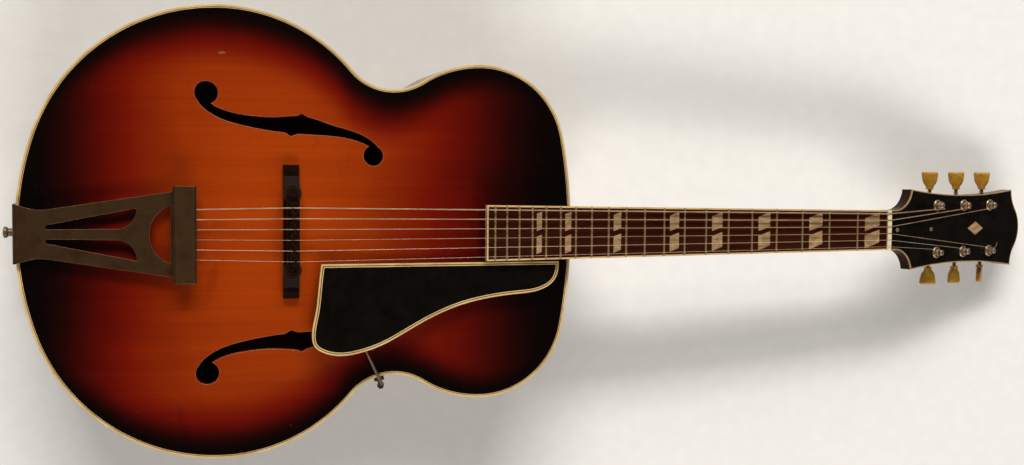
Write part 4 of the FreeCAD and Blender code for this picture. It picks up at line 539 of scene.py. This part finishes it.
def string_places(number):
    """Bar, crest and nut points, then the winding's points, in metres."""
    radius = GAUGES[number] / 2
    share = (number - 1) / 5 - 0.5
    bar = BODY @ Vector(((BAR_AT + BAR_WIDTH - BAR_HOLE_DEPTH) * MM, SPREAD_AT_BAR * share * MM,
                         BAR_HOLE_HEIGHT * MM))
    crest = BODY @ Vector(((SADDLE_AT + SADDLE_STEPS[number]) * MM, SPREAD_AT_SADDLE * share * MM,
                           (CREST_HEIGHT + radius) * MM))
    rest = NECK @ Vector((NUT_MIDDLE * MM, SPREAD_AT_NUT * share * MM, (NUT_REST + radius) * MM))
    bass = number > 3
    place = 6 - number if bass else number - 1
    way = 1 if bass else -1
    centre = Vector((FIRST_POST + POST_SPACING * place, way * POST_OFFSET, 0))
    reach = POST_RADIUS + radius + WINDING_GAP
    start = HEAD.inverted() @ rest / MM
    gap = start - centre
    angle = math.atan2(gap.y, gap.x) + way * math.acos(reach / math.hypot(gap.x, gap.y))
    rise = GAUGES[number] + TURN_GAP
    winding = []
    steps = int(TURNS * STEPS_PER_TURN)
    for i in range(steps + 1):
        turn = TURNS * i / steps
        spin = angle + way * 2 * math.pi * turn
        winding.append(Vector((centre.x + reach * math.cos(spin), centre.y + reach * math.sin(spin),
                               WINDING_START + radius + rise * turn)))
    length, bend = LOOSE_ENDS.get(number, (2 * GAUGES[number] + 1.0, 0.0))
    heading = angle + way * (2 * math.pi * TURNS + math.pi / 2)
    for i in range(LOOSE_STEPS):
        course = heading + bend * i / (LOOSE_STEPS - 1)
        step = Vector((math.cos(course), math.sin(course), LOOSE_RISE)) * (length / LOOSE_STEPS)
        winding.append(winding[-1] + step)
    return bar, crest, rest, [HEAD @ (point * MM) for point in winding]


def run(one, two, count):
    """Points from one place towards another, which is left out."""
    return [one.lerp(two, i / count) for i in range(count)]


for number, gauge in GAUGES.items():
    bar, crest, rest, winding = string_places(number)
    look_slot = "plain_steel" if number in PLAIN_STRINGS else "bronze_wire"
    back = tube_mesh(run(bar, crest, TAIL_POINTS) + [crest], gauge / 2 * MM)
    short = piece("string_%d_tail" % number, *back, look_slot, None)
    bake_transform(short)
    path = run(crest, rest, LENGTH_POINTS) + run(rest, winding[0], HEAD_POINTS) + winding
    ahead = tube_mesh(path, gauge / 2 * MM)
    long = piece("string_%d_length" % number, *ahead, look_slot, None)
    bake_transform(long)
    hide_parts("string_%d" % number)


# Thin dark and light inlaid lines: depth in the face and height over it, millimetres
LINE_DEPTH = 0.3
LINE_HEIGHT = 0.03

# Widest and narrowest points of the body's outline, and the radii of its arcs, millimetres
LOWER_BOUT = (186, 215.9)
WAIST = (351, 139.8)
UPPER_BOUT = (440, 165.6)
TAIL_CORNER = 180.0
SHOULDER = 165.0
WAIST_RADIUS = 56.0
NECK_CORNER = 86.0


def outline(inset, count=40):
    """Closed body outline in the body frame, drawn inwards, millimetres."""
    lower = Vector(LOWER_BOUT)
    waist = Vector(WAIST)
    upper = Vector(UPPER_BOUT)

    def end_radius(bout, reach, radius):
        return (reach ** 2 + bout.y ** 2 - 2 * bout.y * radius) / (2 * (reach - radius))

    def s_radius(one, other, radius):
        rise = abs(one.y - other.y)
        return ((one.x - other.x) ** 2 + rise ** 2) / (2 * rise) - radius

    tail_radius = end_radius(lower, lower.x, TAIL_CORNER)
    head_radius = end_radius(upper, LENGTH - upper.x, NECK_CORNER)
    low_waist = s_radius(lower, waist, SHOULDER)
    upper_radius = s_radius(upper, waist, WAIST_RADIUS)
    tail_centre = Vector((tail_radius, 0))
    head_centre = Vector((LENGTH - head_radius, 0))
    corner_one = lower - Vector((0, TAIL_CORNER))
    corner_two = lower - Vector((0, SHOULDER))
    waist_one = waist + Vector((0, low_waist))
    waist_two = waist + Vector((0, WAIST_RADIUS))
    upper_one = upper - Vector((0, upper_radius))
    upper_two = upper - Vector((0, NECK_CORNER))
    joint_tail = tail_centre + (corner_one - tail_centre).normalized() * tail_radius
    joint_low = corner_two + (waist_one - corner_two).normalized() * SHOULDER
    joint_high = waist_two + (upper_one - waist_two).normalized() * WAIST_RADIUS
    joint_head = head_centre + (upper_two - head_centre).normalized() * head_radius
    arcs = [(tail_centre, -inset, Vector((0, 0)), joint_tail), (corner_one, -inset, joint_tail, lower),
            (corner_two, -inset, lower, joint_low), (waist_one, inset, joint_low, waist),
            (waist_two, inset, waist, joint_high), (upper_one, -inset, joint_high, upper),
            (upper_two, -inset, upper, joint_head), (head_centre, -inset, joint_head, Vector((LENGTH, 0)))]
    half = []
    for centre, growth, first, last in arcs:
        start = first - centre
        sweep = -start.angle_signed(last - centre)
        share = 1 + growth / start.length
        for k in range(count):
            point = centre + share * (Matrix.Rotation(sweep * k / count, 2) @ start)
            half.append((point.x, point.y))
    half.append((LENGTH - inset, 0.0))
    return half + [(x, -y) for x, y in reversed(half[1:-1])]


def inlaid_line(name, place, rings, level, slot):
    """A closed strip between two loops of a frame, let into the face and just proud of it."""
    outer, inner = rings
    high = level + LINE_HEIGHT * MM
    low = level - LINE_DEPTH * MM
    corners = [(outer, high), (inner, high), (inner, low), (outer, low)]
    verts = [place @ Vector((x, y, z)) for ring, z in corners for x, y in ring]
    count = len(outer)
    faces = []
    for side in range(4):
        one = side * count
        two = (side + 1) % 4 * count
        for i in range(count):
            after = (i + 1) % count
            faces.append((one + i, two + i, two + after, one + after))
    return piece(name, verts, faces, slot, smooth=False)


def ply_line(name, outer, inner, slot):
    """A thin strip round the top, in its flat edge."""
    rings = [[(x * MM, y * MM) for x, y in outline(inset)] for inset in (outer, inner)]
    return inlaid_line(name, BODY, rings, 0.0, slot)


# Lines inside the top's binding, with the distances of their edges from the rim
ply_line("top_ply_dark", 2.0, 2.5, "black_celluloid")
ply_line("top_ply_cream", 2.5, 3.1, "cream_binding")
ply_line("top_ply_inner", 3.1, 4.0, "black_celluloid")


# Light line let into the pickguard, dark line between headstock face and binding: how far below the top
# a corner still counts as the upper face, in metres, and the least share that limits a sharp corner's reach
FACE_TOLERANCE = 0.0001
CORNER_LIMIT = 0.4


def face_loop(node, place):
    """Corners of the longest edge of a node's upper face in order, in a frame, metres."""
    mesh = nodes[node].data
    corners = [place.inverted() @ vertex.co for vertex in mesh.vertices]
    top = max(corner.z for corner in corners)
    keys = [(round(corner.x, 6), round(corner.y, 6)) for corner in corners]
    seen = {}
    for face in mesh.polygons:
        if all(corners[i].z > top - FACE_TOLERANCE for i in face.vertices):
            ring = [keys[i] for i in face.vertices]
            for pair in zip(ring, ring[1:] + ring[:1]):
                edge = tuple(sorted(pair))
                seen[edge] = seen.get(edge, 0) + 1
    links = {}
    for (a, b), count in seen.items():
        if count == 1:
            links.setdefault(a, []).append(b)
            links.setdefault(b, []).append(a)
    loops = []
    while links:
        start = min(links)
        order = [start]
        after = links.pop(start)[0]
        while after in links:
            order.append(after)
            near = links.pop(after)
            after = near[0] if near[0] in links else near[-1]
        loops.append([Vector((x, y, top)) for x, y in order])
    return max(loops, key=lambda loop: abs(loop_area(loop)))


def loop_area(loop):
    """Area inside a closed loop, below zero where it runs clockwise."""
    return sum(a.x * b.y - b.x * a.y for a, b in zip(loop, loop[1:] + loop[:1])) / 2


def drawn_in(loop, inset):
    """A closed loop moved inwards by an inset, corners kept sharp."""
    turn = 1 if loop_area(loop) > 0 else -1
    moved = []
    for before, here, after in zip(loop[-1:] + loop[:-1], loop, loop[1:] + loop[:1]):
        one = (here - before).normalized()
        two = (after - here).normalized()
        inwards = Vector((-one.y - two.y, one.x + two.x, 0)).normalized() * turn
        share = max(CORNER_LIMIT, abs(inwards.dot(Vector((-one.y, one.x, 0)))))
        moved.append(here + inwards * (inset / share))
    return moved


def face_line(name, node, place, outer, inner, slot):
    """A thin strip in a node's upper face, along its edge."""
    loop = face_loop(node, place)
    rings = [[(point.x, point.y) for point in drawn_in(loop, inset * MM)] for inset in (outer, inner)]
    return inlaid_line(name, place, rings, loop[0].z, slot)


face_line("pickguard_line", "pickguard", NECK, 0.7, 1.7, "cream_binding")
face_line("headstock_line", "headstock_veneer", HEAD, -0.75, 0.0, "black_lacquer")

# Pale floor, metres
FLOOR_REACH = 9
FLOOR_DROP = 0.0005
floor = bpy.data.meshes.new("floor")
floor_corners = [(x * FLOOR_REACH, y * FLOOR_REACH, 0) for x, y in ((-1, -1), (1, -1), (1, 1), (-1, 1))]
floor.from_pydata(floor_corners, [], [(0, 1, 2, 3)])
floor_object = bpy.data.objects.new("floor", floor)
scene.collection.objects.link(floor_object)
floor_object.location.z = -FLOOR_DROP
ground = Look("floor")
speck = ground.noise((60, 60, 60), 3.0)
pale = ground.ramp(speck, [(0.3, (0.74, 0.73, 0.71)), (0.7, (0.77, 0.76, 0.74))])
floor.materials.append(ground.set(Base_Color=pale, Roughness=0.9))


def area_light(name, place, target, size_x, size_y, watts, color, mirrored):
    """A lamp aimed at a target, seen in gloss or not."""
    light = bpy.data.lights.new(name, "AREA")
    light.shape = "RECTANGLE"
    light.size = size_x
    light.size_y = size_y
    light.energy = watts
    light.color = color
    made = bpy.data.objects.new(name, light)
    scene.collection.objects.link(made)
    made.location = place
    made.rotation_euler = (Vector(target) - Vector(place)).to_track_quat("-Z", "Y").to_euler()
    made.visible_glossy = mirrored


# Two wide soft lamps that gloss doesn't show, each with a narrow strip that it mirrors
KEY_COLOR = (1.0, 0.96, 0.9)
KEY_PLACE = (-0.45, 5.0, 3.75)
KEY_TARGET = (-0.15, 0, 0.05)
KEY_WIDTH = 5.2
KEY_WATTS = 210
KEY_STRIP_WATTS = 325
FILL_COLOR = (1.0, 0.97, 0.93)
FILL_PLACE = (0.6, -5.0, 3.35)
FILL_TARGET = (0.0, 0, 0.05)
FILL_WIDTH = 4.8
FILL_WATTS = 130
FILL_STRIP_WATTS = 202
SOFT_DEPTH = 3.2
STRIP_DEPTH = 1.0
area_light("key", KEY_PLACE, KEY_TARGET, KEY_WIDTH, SOFT_DEPTH, KEY_WATTS, KEY_COLOR, False)
area_light("key_strip", KEY_PLACE, KEY_TARGET, KEY_WIDTH, STRIP_DEPTH, KEY_STRIP_WATTS, KEY_COLOR, True)
area_light("fill", FILL_PLACE, FILL_TARGET, FILL_WIDTH, SOFT_DEPTH, FILL_WATTS, FILL_COLOR, False)
area_light("fill_strip", FILL_PLACE, FILL_TARGET, FILL_WIDTH, STRIP_DEPTH, FILL_STRIP_WATTS, FILL_COLOR, True)
world = bpy.data.worlds.new("studio")
scene.world = world
world.use_nodes = True
world.node_tree.nodes["Background"].inputs["Color"].default_value = (1.0, 0.98, 0.95, 1)
world.node_tree.nodes["Background"].inputs["Strength"].default_value = 0.05
scene.view_settings.view_transform = "Standard"
